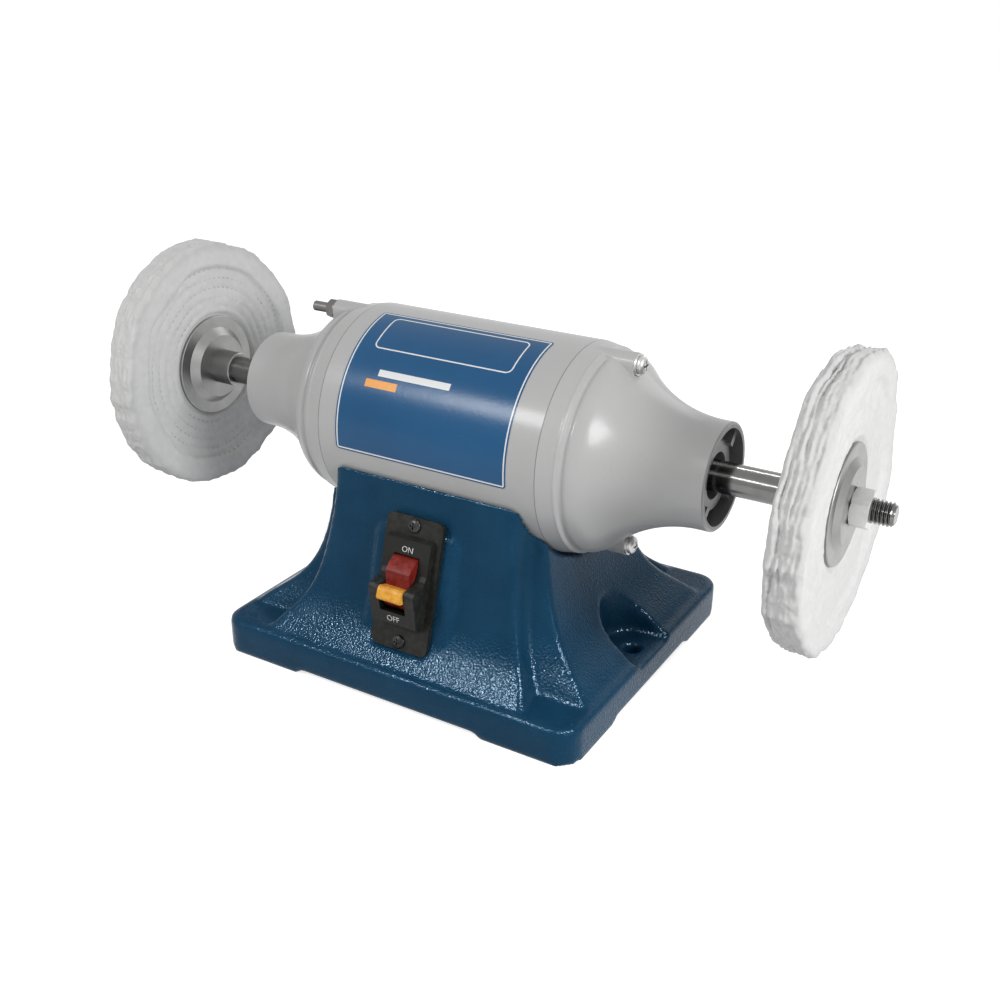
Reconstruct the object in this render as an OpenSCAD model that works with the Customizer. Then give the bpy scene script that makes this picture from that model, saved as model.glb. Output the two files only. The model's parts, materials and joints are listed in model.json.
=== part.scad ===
// Twin-arbor bench buffer: an induction motor in a cast base, with a cotton
// buffing wheel clamped on each end of its shaft.
// X runs along the shaft, -Y is the front with the switch, and Z = 0 is the bench.

/* [Base casting] */
// Length of the foot plate along the shaft
base_len = 235; // [226:1:250]
// Width of the foot plate, front to back
base_wid = 203; // [196:1:215]
// Height of the foot plate's edge
plate_h = 21.6; // [20:0.2:24]
// Corner radius of the foot plate, seen from above
corner_r = 14; // [8:1:20]
// Rounding of the foot plate's top edge
edge_round = 3; // [1:0.5:4]
// Length of each corner land along the shaft
land_len = 55; // [45:1:60]
// Width of each corner land, front to back
land_wid = 52; // [45:1:58]
// Depth of the relief between the corner lands
land_relief = 3; // [1.5:0.5:3]
// Wall thickness of the hollow tower
tower_wall = 6; // [5:0.5:7]
// Width of the foot plate left bare beyond the tower's flare
flare_margin = 5; // [4:0.5:10]
// Length of the front and back panels at the cradle
cradle_len = 115.4; // [110:0.2:118]
// Length of the front and back panels where they meet the foot plate
panel_foot_len = 172.2; // [150:0.2:176]
// Width of the side webs at the cradle
web_wid = 95.6; // [88:0.2:98]
// Width of the side webs where they meet the foot plate
web_foot_wid = 153.4; // [140:0.2:158]
// Drop of the cradle's lips below the shaft axis
lip_drop = 18; // [16:0.5:20]
// Thickness of the cradle's lips at their top edge
lip_t = 1.6; // [1:0.1:3]
// Thickness of the saddle under the motor
saddle_t = 9; // [7:0.5:10]
// Bevel along the tower's upright corners
arris = 2.4; // [1:0.2:4]

/* [Bench bolts] */
// Distance between the two bench bolt holes
bench_bolt_spacing = 207.2; // [200:0.2:210]
// Diameter of the bench bolt holes
bench_bolt_d = 9.5; // [8:0.5:11]
// Width of the pocket around each bench bolt hole
pocket_wid = 39; // [34:1:42]
// Height of the pocket's floor above the bench
pocket_floor = 18; // [14:0.5:19]

/* [Bottom cover] */
// Length of the bottom cover along the shaft
cover_len = 160; // [150:1:162]
// Width of the bottom cover, front to back
cover_wid = 178; // [168:1:180]
// Thickness of the bottom cover
cover_t = 1.5; // [1:0.1:1.5]
// Width of the ledge that the cover closes against
cover_ledge = 5; // [4:0.5:6]
// Diameter of the cover screws
cover_screw_d = 4; // [3:0.5:5]

/* [Motor] */
// Height of the shaft axis above the bench
axis_h = 135; // [134:0.5:140]
// Outer diameter of the motor shell
shell_d = 118.2; // [116:0.2:119]
// Length of the motor shell
shell_len = 139.6; // [136:0.2:144]
// Wall thickness of the motor shell
shell_t = 3.6; // [2.8:0.1:4]
// Length of the stator core
core_len = 56; // [46:1:60]
// Bore of the stator core
stator_bore = 62; // [58:1:64]
// Number of stator slots
slot_count = 24; // [12:6:24]
// Air gap between the rotor and the stator
air_gap = 0.4; // [0.3:0.05:0.6]
// Axial length of each end winding
winding_len = 18; // [12:1:19]

/* [End bells] */
// Length of each end bell, from the seam to its small end
bell_len = 79.9; // [78:0.1:86]
// Diameter of each end bell at its small end
bell_end_d = 58.8; // [57:0.2:61]
// Straight neck at the small end of the bell
neck_len = 5.7; // [4:0.1:8]
// Wall thickness of each end bell
bell_wall = 3.2; // [2.6:0.1:3.6]
// Length of the tapered lip next to the seam
lip_len = 10.4; // [8:0.1:12]
// Radius of the bell's shoulder beyond the lip
shoulder_r = 16; // [12:1:18]
// Outer radius of the hub ring seen in the bell's mouth
hub_face_r = 19.6; // [18:0.1:20.5]
// Depth of the hub ring's face inside the bell's mouth
hub_recess = 4.7; // [3:0.1:6]
// Diameter of the hole around the shaft in the hub
hub_hole_d = 25.6; // [24:0.2:28]
// Thickness of the ribs between the hub and the bell's wall
rib_t = 4; // [3:0.5:5]
// Diameter of the long bolts that hold the bells to the shell
tie_bolt_d = 6; // [5:0.5:6]
// Radius of the boss around each long bolt
tie_boss_r = 6.2; // [6:0.1:7]
// Length of those bosses beyond the seam
tie_boss_len = 27.7; // [24:0.1:30]

/* [Shaft and bearings] */
// Length of the shaft from tip to tip
shaft_len = 476; // [470:1:490]
// Diameter of the shaft at its bearings
shaft_d = 17; // [16:0.1:17.4]
// Diameter of the threaded arbor ends
arbor_d = 12.7; // [11:0.1:13]
// Outer diameter of the bearings
bearing_od = 40; // [38:0.5:41]
// Width of the bearings
bearing_w = 12; // [11:0.5:13]
// Diameter of the bearing balls
ball_d = 6.8; // [6:0.1:7]
// Number of balls in each bearing
ball_count = 8; // [6:1:8]

/* [Wheel clamp] */
// Diameter of the clamping flanges
flange_d = 63.6; // [58:0.2:66]
// Thickness of the flange plates
flange_t = 2; // [1.6:0.1:2.4]
// Width of the flat rim on each flange
flange_rim = 7.3; // [6:0.1:9]
// Height of the inner flange's raised centre
inner_raise = 4.5; // [3:0.1:5]
// Height of the outer flange's raised centre
outer_raise = 2.8; // [2:0.1:4]
// Diameter of the inner flange's collar
collar_d = 21.6; // [20:0.1:24]
// Length of the inner flange's collar
collar_len = 14.6; // [12:0.1:18]
// Length of shaft that runs inside the collar
collar_seat = 8.4; // [6:0.1:10]
// Width across the flats of the arbor nuts
nut_af = 19; // [18:0.5:22]
// Thickness of the arbor nuts
nut_t = 9.6; // [8:0.1:11]
// Length of thread left free beyond each nut
thread_out = 11.3; // [9:0.1:14]

/* [Buffing wheels] */
// Diameter of the buffing wheels
wheel_d = 156; // [140:0.5:160]
// Thickness of a wheel where the flanges clamp it
wheel_hub_w = 9.6; // [8:0.1:12]
// Thickness of a wheel between its stitch rows
wheel_w = 13; // [12:0.5:16]
// Thickness of a wheel at its loose edge
wheel_edge_w = 18; // [15:0.5:22]
// Number of stitch rows
stitch_rows = 5; // [3:1:5]
// Radius of the innermost stitch row
stitch_first_r = 38; // [37:0.5:40]
// Distance between stitch rows
stitch_pitch = 6; // [5:0.5:6]
// Depth of the stitch rows below the cloth between them
stitch_dip = 0.5; // [0.3:0.1:1]
// How far the loose edge wanders in and out
ruffle = 1.1; // [0:0.1:1.6]
// How far the left wheel's edge is bent outwards at the back
left_curl = 5; // [0:0.5:6]
// How far the right wheel's edge is bent outwards at the back
right_curl = 1; // [0:0.5:6]

/* [Switch] */
// Width of the switch plate
switch_wid = 37; // [34:0.5:40]
// Height of the switch plate
switch_h = 76; // [74:0.5:80]
// Thickness of the switch plate
switch_t = 3; // [2:0.1:4]
// Lean of the switch plate back from upright
switch_lean = 16.05; // [15:0.05:17]
// Distance of the switch plate's middle in front of the shaft axis
switch_y = 75.5; // [75:0.1:77]
// Height of the switch plate's middle above the bench
switch_z = 64.5; // [64:0.1:66]
// Distance between the two switch screws
switch_screw_pitch = 66.4; // [65:0.1:68]
// Width of the shroud on the plate
shroud_wid = 29.2; // [27:0.1:31]
// Width of the toggle
toggle_wid = 15.4; // [13:0.1:18]
// Height of the shroud's guards in front of the plate
guard_h = 15.2; // [13:0.1:16]
// Height of the safety key's head, measured up the plate
key_h = 7.4; // [6:0.1:8]
// Width of the flat pad behind the switch plate
pad_wid = 53; // [48:1:56]

/* [Electrical parts in the base] */
// Diameter of the capacitor
cap_d = 34; // [30:1:36]
// Length of the capacitor
cap_len = 66; // [56:1:72]
// Distance of the capacitor behind the shaft axis
cap_y = 40; // [36:1:44]
// Bore of the cord gland in the back edge
gland_bore = 8.2; // [7:0.1:8.6]
// Distance of the cord gland from the middle
gland_x = 40; // [30:1:48]

/* [Hidden] */
$fn = 48;

// Colours as the photograph shows them
casting_blue = [0.09, 0.19, 0.33];
paint_grey = [0.68, 0.68, 0.67];
steel = [0.62, 0.62, 0.61];
dark_steel = [0.40, 0.40, 0.40];
copper = [0.70, 0.38, 0.20];
cotton = [0.94, 0.93, 0.91];
black_plastic = [0.10, 0.10, 0.10];
toggle_red = [0.62, 0.16, 0.13];
key_orange = [0.96, 0.60, 0.14];
black_rubber = [0.08, 0.08, 0.08];
blue_steel = [0.45, 0.48, 0.52];

// Named clearances
eps = 1;
seat_gap = 0.3;
fit_gap = 0.1;
run_gap = 0.05;
slip_gap = 0.02;
screw_gap = 0.15;

// Derived sizes of the motor
shell_r = shell_d / 2;
shell_in = shell_r - shell_t;
seam_x = shell_len / 2;
tie_r = tie_bolt_d / 2;
tie_circle = shell_in - tie_r - seat_gap;
tie_boss_x = seam_x + tie_boss_len;
core_half = core_len / 2;

// The bell's outline: a tapered lip, a convex shoulder and a concave flare that
// meet in one tangent, then a straight neck
bell_end_r = bell_end_d / 2;
bell_end_x = seam_x + bell_len;
lip_taper = 1.9;
lip_step = 1.2;
lip_x = seam_x + lip_len;
bell_top_r = shell_r - lip_taper - lip_step;
shoulder_x = lip_x + lip_step + 0.4;
neck_x = bell_end_x - neck_len;
bell_run = neck_x - shoulder_x;
bell_drop = bell_top_r - bell_end_r;
flare_r = (bell_run * bell_run + bell_drop * bell_drop) / (2 * bell_drop) - shoulder_r;
flare_turn = asin(bell_run / (flare_r + shoulder_r));
spigot_len = 6;
spigot_in = bell_top_r - bell_wall;

// Bearings, seated in the hubs of the bells
bearing_or = bearing_od / 2;
shaft_r = shaft_d / 2;
hub_face_x = bell_end_x - hub_recess;
hub_r = bearing_or + 3.5;
hub_lip_t = 10.3;
pocket_end_x = hub_face_x - hub_lip_t;
wave_t = 1.3;
right_bearing_x = pocket_end_x - wave_t - 2 * 0.2 - bearing_w;
left_bearing_x = pocket_end_x - 0.2 - bearing_w;
hub_start_x = right_bearing_x - 1;
ball_r = ball_d / 2;
ball_circle = (bearing_or + shaft_r) / 2;
race_gap = 0.22 * (bearing_or - shaft_r);
cage_t = 1.6;
cage_w = 0.8 * bearing_w;

// The shaft's steps
tip_x = shaft_len / 2;
arbor_r = arbor_d / 2;
tip_chamfer = 1;
nut_x = tip_x - thread_out - nut_t;
outer_flange_x = nut_x - seat_gap / 3;
outer_face_x = outer_flange_x - outer_raise - flange_t;
inner_face_x = outer_face_x - wheel_hub_w;
collar_x = inner_face_x - flange_t - inner_raise - collar_len;
shoulder_shaft_x = collar_x + collar_seat;
rotor_seat_r = shaft_r + 1.5;
shaft_mid_r = shaft_r + 1;
rotor_r = stator_bore / 2 - air_gap;
cage_ring_len = 5;
fan_len = 9;
fan_blades = 10;

// The flanges
flange_r = flange_d / 2;
flange_cone_r = flange_r - flange_rim;
flange_disc_r = flange_cone_r - 4.5;
collar_r = collar_d / 2;

// The wheels
wheel_r = wheel_d / 2;
wheel_mid_x = (outer_face_x + inner_face_x) / 2;
wheel_sides = 40;

// The tower of the base: curves from the cradle down to the foot plate
tower_top = axis_h - lip_drop;
seat_r = shell_r + seat_gap;
bell_clear_r = shell_r + 1.4;
tower_steps = 16;
tower_fall = [1, 0.1185, 0.1699, 0];
panel_len_curve = [0, 0.227, 0.666, 1];
panel_wid_curve = [0, 0.345, 0.476, 1];
web_len_curve = [0, 0.061, 0.667, 1];
web_wid_curve = [0, 0.013, 0.650, 1];
panel_top = [cradle_len / 2, sqrt(shell_r * shell_r - lip_drop * lip_drop) + lip_t];
panel_foot = [panel_foot_len / 2, base_wid / 2 - flare_margin];
web_top = [seam_x + 0.4, web_wid / 2];
web_foot = [base_len / 2 - flare_margin, web_foot_wid / 2];
groove_from = 0.1;
groove_top = [cradle_len / 2 + 5.8, web_wid / 2 - 3.3];
groove_foot = [panel_foot_len / 2 - 4.1, web_foot_wid / 2 - 2.7];
groove_fillet = 5;

// Cavity, cover and bolts of the base
pocket_r = pocket_wid / 2;
pocket_wall = 6;
bench_hole_x = bench_bolt_spacing / 2;
cavity_floor = 12;
cover_z = land_relief + 1;
ledge_z = cover_z + cover_t;
open_half = [cover_len / 2 - cover_ledge, cover_wid / 2 - cover_ledge];
cover_corner_r = 8;
cover_boss_r = 8;
cover_boss_h = 14;
cover_boss_in = 6;
cradle_bolt_x = 52;
cradle_bolt_turn = 24;
cradle_bolt_r = 4;
cradle_boss_r = 9.5;
cradle_head_r = seat_r + saddle_t + 2;
cradle_head_t = 5.3;
cradle_head_af = 13;
weld_nut_t = 5;
weld_nut_w = 13;
weld_nut_r = shell_in - 0.5;
lead_hole_r = 9;

// Switch: y is depth behind the plate's front, z runs up the plate
plate_corner_r = 4;
pivot_y = 6;
pivot_z = 1;
pivot_r = 1.5;
toggle_swing_r = 18.5;
toggle_half = toggle_wid / 2;
slot_half = toggle_half + 0.7;
body_half_w = slot_half + 2.6;
body_half_h = 23;
body_back = 22;
key_front = 16.6;
key_seat = 9.4;
key_top = 0;
tongue_deep = 8;
tongue_half = 5.5;
tongue_t = 3;
pad_top = 29;
pad_low = 46;
pad_round = 6;

// Gland, capacitor and wires
gland_r = gland_bore / 2 + 1.5;
gland_flange_r = gland_bore / 2 + 3.1;
gland_flange_t = 2;
gland_z = 11.6;
gland_in = 20;
cap_r = cap_d / 2;
cap_z = ledge_z + seat_gap + cap_r;
strap_t = 1;
strap_w = 14;
strap_foot = 10;
wire_r = 1.2;
wire_side = 4.6;
wire_bend = 7;

// Heads, shanks and nuts of the small fasteners
cover_head_t = 2.2;
cover_screw_len = 12;
tie_head_r = 5;
tie_head_t = 3.8;
tie_seat_t = 1.3;
tie_tip_len = 11.3;
tie_nut_af = 10;
tie_nut_t = 5;
plate_head_r = 3.9;
plate_head_t = 2.2;
plate_screw_len = 14;
small_screw_r = 2;
clamp_head_r = 3.5;
clamp_head_t = 2;
clamp_screw_len = 5;

// A point on the cubic curve with control values c
function curve(c, t) =
    c[0] * pow(1 - t, 3) + 3 * c[1] * t * pow(1 - t, 2) + 3 * c[2] * t * t * (1 - t) + c[3] * pow(t, 3);

// A value eased from one to another along a curve
function ease(from, to, c, t) = from + (to - from) * curve(c, t);

// Points on an arc in the plane, from angle a0 to a1
function arc(centre, r, a0, a1, steps) =
    [for (i = [0:steps]) let (a = a0 + (a1 - a0) * i / steps) centre + r * [cos(a), sin(a)]];

// Triangles between closed rings of points that have n points each
function ring_faces(rings, n) = [
    for (k = [0:rings - 2], i = [0:n - 1])
        let (a = k * n + i, b = k * n + (i + 1) % n)
            each [[a, a + n, b], [b, a + n, b + n]]
];

// Places children on the shaft axis at x, with their Z along the shaft
module on_axis(x = 0) {
    translate([x, 0, axis_h]) rotate([0, 90, 0]) children();
}

// Children as drawn on the right, or mirrored to the left
module on_side(side) {
    if (side > 0) children();
    else mirror([1, 0, 0]) children();
}

// A ring about the shaft axis from x0 to x1
module ring(outer, inner, x0, x1) {
    on_axis(x0) difference() {
        cylinder(h = x1 - x0, r = outer);
        translate([0, 0, -eps]) cylinder(h = x1 - x0 + 2 * eps, r = inner);
    }
}

// A hexagonal nut about Z with chamfered corners
module hex_nut(af, t, hole_r) {
    corner = af / 2 / cos(30);
    chamfer = corner - af / 2;
    difference() {
        intersection() {
            cylinder(h = t, r = corner, $fn = 6);
            rotate_extrude() polygon([
                [0, 0], [corner - chamfer, 0], [corner, chamfer * 0.6],
                [corner, t - chamfer * 0.6], [corner - chamfer, t], [0, t]
            ]);
        }
        if (hole_r > 0) translate([0, 0, -eps]) cylinder(h = t + 2 * eps, r = hole_r);
    }
}

// A pan-head screw with a cross recess: head above Z = 0, shank below
module pan_screw(head_r, head_t, shank_r, shank_len) {
    recess_t = head_r * 0.22;
    difference() {
        rotate_extrude() polygon(concat(
            [[0, 0], [head_r, 0], [head_r, head_t * 0.35]],
            [for (a = [20:20:70]) [head_r * cos(a), head_t * 0.35 + head_t * 0.65 * sin(a)]],
            [[0, head_t]]
        ));
        for (a = [0, 90]) rotate([0, 0, a])
            translate([-head_r * 0.55, -recess_t / 2, head_t * 0.45])
                cube([head_r * 1.1, recess_t, head_t]);
    }
    translate([0, 0, -shank_len]) cylinder(h = shank_len + 0.01, r = shank_r);
}

// A plate with rounded corners, seen from above, standing on Z = 0
module rounded_plate(len, wid, r, h) {
    translate([-len / 2 + r, -wid / 2, 0]) cube([len - 2 * r, wid, h]);
    translate([-len / 2, -wid / 2 + r, 0]) cube([len, wid - 2 * r, h]);
    for (x = [-1, 1], y = [-1, 1])
        translate([x * (len / 2 - r), y * (wid / 2 - r), 0]) cylinder(h = h, r = r);
}

// The foot plate, with its top edge rounded all the way round
module foot_plate() {
    inner = corner_r - edge_round;
    side = concat(
        [[0, 0], [corner_r, 0]],
        arc([inner, plate_h - edge_round], edge_round, 0, 90, 5),
        [[0, plate_h]]
    );
    straight = [base_len - 2 * corner_r, base_wid - 2 * corner_r];
    translate([-straight[0] / 2, -straight[1] / 2, 0]) cube([straight[0], straight[1], plate_h]);
    for (x = [-1, 1], y = [-1, 1])
        translate([x * straight[0] / 2, y * straight[1] / 2, 0]) rotate_extrude() polygon(side);
    for (turn = [0, 180]) rotate([0, 0, turn]) {
        translate([straight[0] / 2, straight[1] / 2, 0]) rotate([90, 0, 0])
            linear_extrude(straight[1]) polygon(side);
        translate([-straight[0] / 2, straight[1] / 2, 0]) rotate([90, 0, 90])
            linear_extrude(straight[0]) polygon(side);
    }
}

// Relief under the foot plate that leaves a land at each corner
module land_reliefs() {
    slope = 1.5 * land_relief;
    half = [base_len / 2 - land_len, base_wid / 2 - land_wid];
    translate([0, base_wid / 2 + eps, 0]) rotate([90, 0, 0]) linear_extrude(base_wid + 2 * eps)
        polygon([[-half[0], -eps], [-half[0], 0], [slope - half[0], land_relief],
                 [half[0] - slope, land_relief], [half[0], 0], [half[0], -eps]]);
    translate([-base_len / 2 - eps, 0, 0]) rotate([90, 0, 90]) linear_extrude(base_len + 2 * eps)
        polygon([[-half[1], -eps], [-half[1], 0], [slope - half[1], land_relief],
                 [half[1] - slope, land_relief], [half[1], 0], [half[1], -eps]]);
}

// Height of the tower's section at t, from 0 at the cradle to 1 at the foot plate
function tower_z(t) = plate_h + (tower_top - plate_h) * curve(tower_fall, t);

// The groove's bottom between a panel and a web at t
function groove(t) =
    let (
        lip = (panel_top + web_top) / 2,
        u = max(0, (t - groove_from) / (1 - groove_from)),
        run = groove_foot - groove_top
    )
    t < groove_from
        ? lip + (groove_top - lip) * t / groove_from
        : groove_top + [run[0] * pow(u, 1.5), run[1] * pow(u, 0.75)];

// Three points that round off the corner b between its neighbours a and c
function rounded(a, b, c, r) =
    let (
        back = b + (a - b) * min(r / norm(a - b), 0.45),
        on = b + (c - b) * min(r / norm(c - b), 0.45)
    )
    [back, 0.42 * b + 0.29 * (back + on), on];

// The section of the tower at t, drawn in by inset
function tower_section(t, inset) =
    let (
        px = ease(panel_top[0], panel_foot[0], panel_len_curve, t) - inset,
        py = ease(panel_top[1], panel_foot[1], panel_wid_curve, t) - inset,
        wx = ease(web_top[0], web_foot[0], web_len_curve, t) - inset,
        wy = ease(web_top[1], web_foot[1], web_wid_curve, t) - inset,
        g = groove(t) - [inset, inset],
        quarter = concat(
            rounded([wx, 0], [wx, wy], g, arris),
            rounded([wx, wy], g, [px, py], groove_fillet),
            rounded(g, [px, py], [0, py], arris)
        )
    )
    concat(
        quarter,
        [for (i = [8:-1:0]) [-quarter[i][0], quarter[i][1]]],
        [for (i = [0:8]) [-quarter[i][0], -quarter[i][1]]],
        [for (i = [8:-1:0]) [quarter[i][0], -quarter[i][1]]]
    );

// The flared tower, drawn in by inset and carried down to z = bottom
module tower(inset, bottom) {
    levels = [for (i = [0:tower_steps]) pow(1 - i / tower_steps, 1.4)];
    n = 36;
    points = concat(
        [for (p = tower_section(1, inset)) [p[0], p[1], bottom]],
        [for (t = levels, p = tower_section(t, inset)) [p[0], p[1], tower_z(t)]],
        [[0, 0, bottom], [0, 0, tower_top]]
    );
    rings = len(levels) + 1;
    centre = rings * n;
    polyhedron(points, concat(
        [for (i = [0:n - 1]) [centre, i, (i + 1) % n]],
        ring_faces(rings, n),
        [for (i = [0:n - 1]) [centre + 1, centre - n + (i + 1) % n, centre - n + i]]
    ));
}

// Places children on the switch plate: front at y = 0, z up the plate
module at_switch() {
    translate([0, -switch_y, switch_z]) rotate([-switch_lean, 0, 0]) children();
}

// Flat pad on the front panel that the switch plate lies on
module switch_pad() {
    at_switch() translate([0, switch_t + 14, (pad_top - pad_low) / 2]) rotate([90, 0, 0])
        rounded_plate(pad_wid, pad_top + pad_low, pad_round, 14);
}

// Room for the plate's lower end, sunk into the flare down to the pad's face
module plate_recess() {
    gap = 0.5;
    at_switch() translate([0, switch_t, 0]) rotate([90, 0, 0])
        rounded_plate(switch_wid + 2 * gap, switch_h + 2 * gap, plate_corner_r + gap, 20);
}

// Places children on each cradle bolt, with Z pointing away from the shaft axis
module at_cradle_bolts() {
    for (x = [-1, 1], a = [-1, 1])
        translate([x * cradle_bolt_x, 0, axis_h]) rotate([180 + a * cradle_bolt_turn, 0, 0])
            children();
}

// Pocket with a flat floor around a bench bolt, open to the plate's edge
module bench_pocket(r, bottom) {
    for (side = [-1, 1]) on_side(side) {
        translate([bench_hole_x, 0, bottom]) cylinder(h = tower_top, r = r);
        translate([bench_hole_x, -r, bottom]) cube([base_len, 2 * r, tower_top]);
    }
}

// Places children at the four cover screws
module at_cover_screws() {
    for (x = [-1, 1], y = [-1, 1])
        translate([x * (open_half[0] - cover_boss_in), y * (open_half[1] - cover_boss_in), 0])
            children();
}

// Hollow inside of the base
module cavity() {
    difference() {
        union() {
            tower(tower_wall, cavity_floor);
            translate([-open_half[0], -open_half[1], -eps])
                cube([2 * open_half[0], 2 * open_half[1], cavity_floor + 2 * eps]);
        }
        on_axis(-base_len) cylinder(h = 2 * base_len, r = seat_r + saddle_t);
        bench_pocket(pocket_r + pocket_wall, -2 * eps);
        at_cradle_bolts() translate([0, 0, seat_r])
            cylinder(h = cradle_head_r - seat_r, r = cradle_boss_r);
        at_cover_screws() translate([0, 0, ledge_z])
            cylinder(h = cover_boss_h, r = cover_boss_r);
    }
}

module base_casting() {
    color(casting_blue) difference() {
        union() {
            foot_plate();
            tower(0, cavity_floor);
            switch_pad();
        }
        on_axis(-seam_x) cylinder(h = shell_len, r = seat_r);
        for (side = [-1, 1]) on_side(side)
            on_axis(seam_x - eps) cylinder(h = base_len, r = bell_clear_r);
        cavity();
        land_reliefs();
        bench_pocket(pocket_r, pocket_floor);
        for (x = [-1, 1]) translate([x * bench_hole_x, 0, -eps])
            cylinder(h = plate_h + 2 * eps, d = bench_bolt_d);
        translate([0, 0, -eps]) rounded_plate(
            cover_len + 2 * seat_gap, cover_wid + 2 * seat_gap, cover_corner_r, ledge_z + eps);
        at_cover_screws() cylinder(h = ledge_z + cover_boss_h - 2, r = cover_screw_d / 2 + run_gap);
        at_cradle_bolts() cylinder(h = cradle_head_r + eps, r = cradle_bolt_r + screw_gap);
        translate([cradle_bolt_x, 0, axis_h - seat_r - saddle_t - 3 * eps])
            cylinder(h = saddle_t + 8 * eps, r = lead_hole_r);
        plate_recess();
        at_switch() {
            translate([-body_half_w - 1, 0, -body_half_h - 1.5])
                cube([2 * body_half_w + 2, body_back + 2, 2 * body_half_h + 3]);
            for (z = [-1, 1]) translate([0, 0, z * switch_screw_pitch / 2]) rotate([-90, 0, 0])
                cylinder(h = 24, r = small_screw_r + run_gap);
        }
        translate([gland_x, base_wid / 2 + eps, gland_z]) rotate([90, 0, 0]) {
            cylinder(h = gland_in + 3, r = gland_r + fit_gap);
            cylinder(h = gland_flange_t + 2 * seat_gap + eps, r = gland_flange_r + fit_gap);
        }
    }
}

module bottom_cover() {
    color(blue_steel) difference() {
        translate([0, 0, cover_z]) rounded_plate(cover_len, cover_wid, cover_corner_r, cover_t);
        at_cover_screws() cylinder(h = ledge_z + eps, r = cover_screw_d / 2 + screw_gap);
        at_clamp_screws() translate([0, 0, -2 * clamp_screw_len])
            cylinder(h = 4 * clamp_screw_len, r = small_screw_r + run_gap);
    }
}

module cover_screws() {
    color(steel) at_cover_screws() translate([0, 0, cover_z]) rotate([180, 0, 0])
        pan_screw(cover_screw_d, cover_head_t, cover_screw_d / 2, cover_screw_len);
}

module motor_shell() {
    color(paint_grey) difference() {
        ring(shell_r, shell_in, fit_gap - seam_x, seam_x - fit_gap);
        at_cradle_bolts() translate([0, 0, shell_in - 2])
            cylinder(h = shell_t + 4, r = cradle_bolt_r + screw_gap);
        translate([cradle_bolt_x, 0, axis_h - shell_r - eps])
            cylinder(h = shell_t + 4, r = lead_hole_r);
    }
}

// Square nuts welded inside the shell for the cradle bolts
module shell_nuts() {
    color(steel) at_cradle_bolts() difference() {
        translate([-weld_nut_w / 2, -weld_nut_w / 2, weld_nut_r - weld_nut_t])
            cube([weld_nut_w, weld_nut_w, weld_nut_t]);
        translate([0, 0, weld_nut_r - weld_nut_t - eps])
            cylinder(h = weld_nut_t + 2 * eps, r = cradle_bolt_r + run_gap);
    }
}

module cradle_bolts() {
    color(steel) at_cradle_bolts() {
        translate([0, 0, cradle_head_r + fit_gap]) hex_nut(cradle_head_af, cradle_head_t, 0);
        translate([0, 0, weld_nut_r - weld_nut_t - 1])
            cylinder(h = cradle_head_r - weld_nut_r + weld_nut_t + 2, r = cradle_bolt_r);
    }
}

// Rubber bushing where the motor's leads pass through the saddle
module lead_bushing() {
    low = axis_h - seat_r - saddle_t;
    color(black_rubber) translate([cradle_bolt_x, 0, 0]) difference() {
        union() {
            translate([0, 0, low - 2.2]) cylinder(h = 2, r = lead_hole_r + 2);
            translate([0, 0, low - 2.2])
                cylinder(h = saddle_t + shell_t + 1.7, r = lead_hole_r - fit_gap);
        }
        translate([0, 0, low - 4]) cylinder(h = saddle_t + shell_t + 10, r = lead_hole_r - 2.5);
    }
}

module stator_core() {
    slot_in = stator_bore / 2;
    slot_deep = 13;
    slot_w = 0.42 * 2 * PI * slot_in / slot_count;
    color(dark_steel) difference() {
        ring(shell_in - fit_gap, slot_in, -core_half, core_half);
        for (i = [0:slot_count - 1]) on_axis(-core_half - eps)
            rotate([0, 0, (i + 0.5) * 360 / slot_count])
                translate([slot_in - eps, -slot_w / 2, 0])
                    cube([slot_deep + eps, slot_w, core_len + 2 * eps]);
        for (z = [-1, 1]) translate([0, 0, z * tie_circle]) on_axis(-core_half - eps)
            cylinder(h = core_len + 2 * eps, r = tie_r + seat_gap);
    }
}

// One end winding, a bound coil of rounded section around the rotor's end
module end_winding(side) {
    low = stator_bore / 2 + 2;
    high = tie_circle - tie_r - 1.2;
    round = 5;
    x0 = core_half + 0.2;
    color(copper) on_side(side) on_axis(x0) rotate_extrude() polygon(concat(
        [[low, 0], [high, 0]],
        arc([high - round, winding_len - round], round, 0, 90, 5),
        arc([low + round, winding_len - round], round, 90, 180, 5)
    ));
}

module left_winding() { end_winding(-1); }

module right_winding() { end_winding(1); }

// The bell's curve from its shoulder to its neck, drawn in by off, as [radius, x]
function bell_curve(off) = concat(
    [for (i = [0:6]) let (a = flare_turn * i / 6)
        [bell_top_r - shoulder_r + (shoulder_r - off) * cos(a),
         shoulder_x + (shoulder_r - off) * sin(a)]],
    [for (i = [11:-1:0]) let (a = flare_turn * i / 12)
        [bell_end_r + flare_r - (flare_r + off) * cos(a), neck_x - (flare_r + off) * sin(a)]]
);

// Everything inside the bell's outer surface
module bell_outside() {
    rim_round = 0.8;
    on_axis() rotate_extrude() polygon(concat(
        [[0, seam_x], [shell_r, seam_x], [shell_r - lip_taper, lip_x], [bell_top_r, lip_x + lip_step]],
        bell_curve(0),
        [[bell_end_r, bell_end_x - rim_round], [bell_end_r - rim_round, bell_end_x], [0, bell_end_x]]
    ));
}

// Hollow of the bell
module bell_inside() {
    on_axis() rotate_extrude() polygon(concat(
        [[0, seam_x - spigot_len - eps], [spigot_in, seam_x - spigot_len - eps]],
        bell_curve(bell_wall),
        [[bell_end_r - bell_wall, bell_end_x + eps], [0, bell_end_x + eps]]
    ));
}

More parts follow.
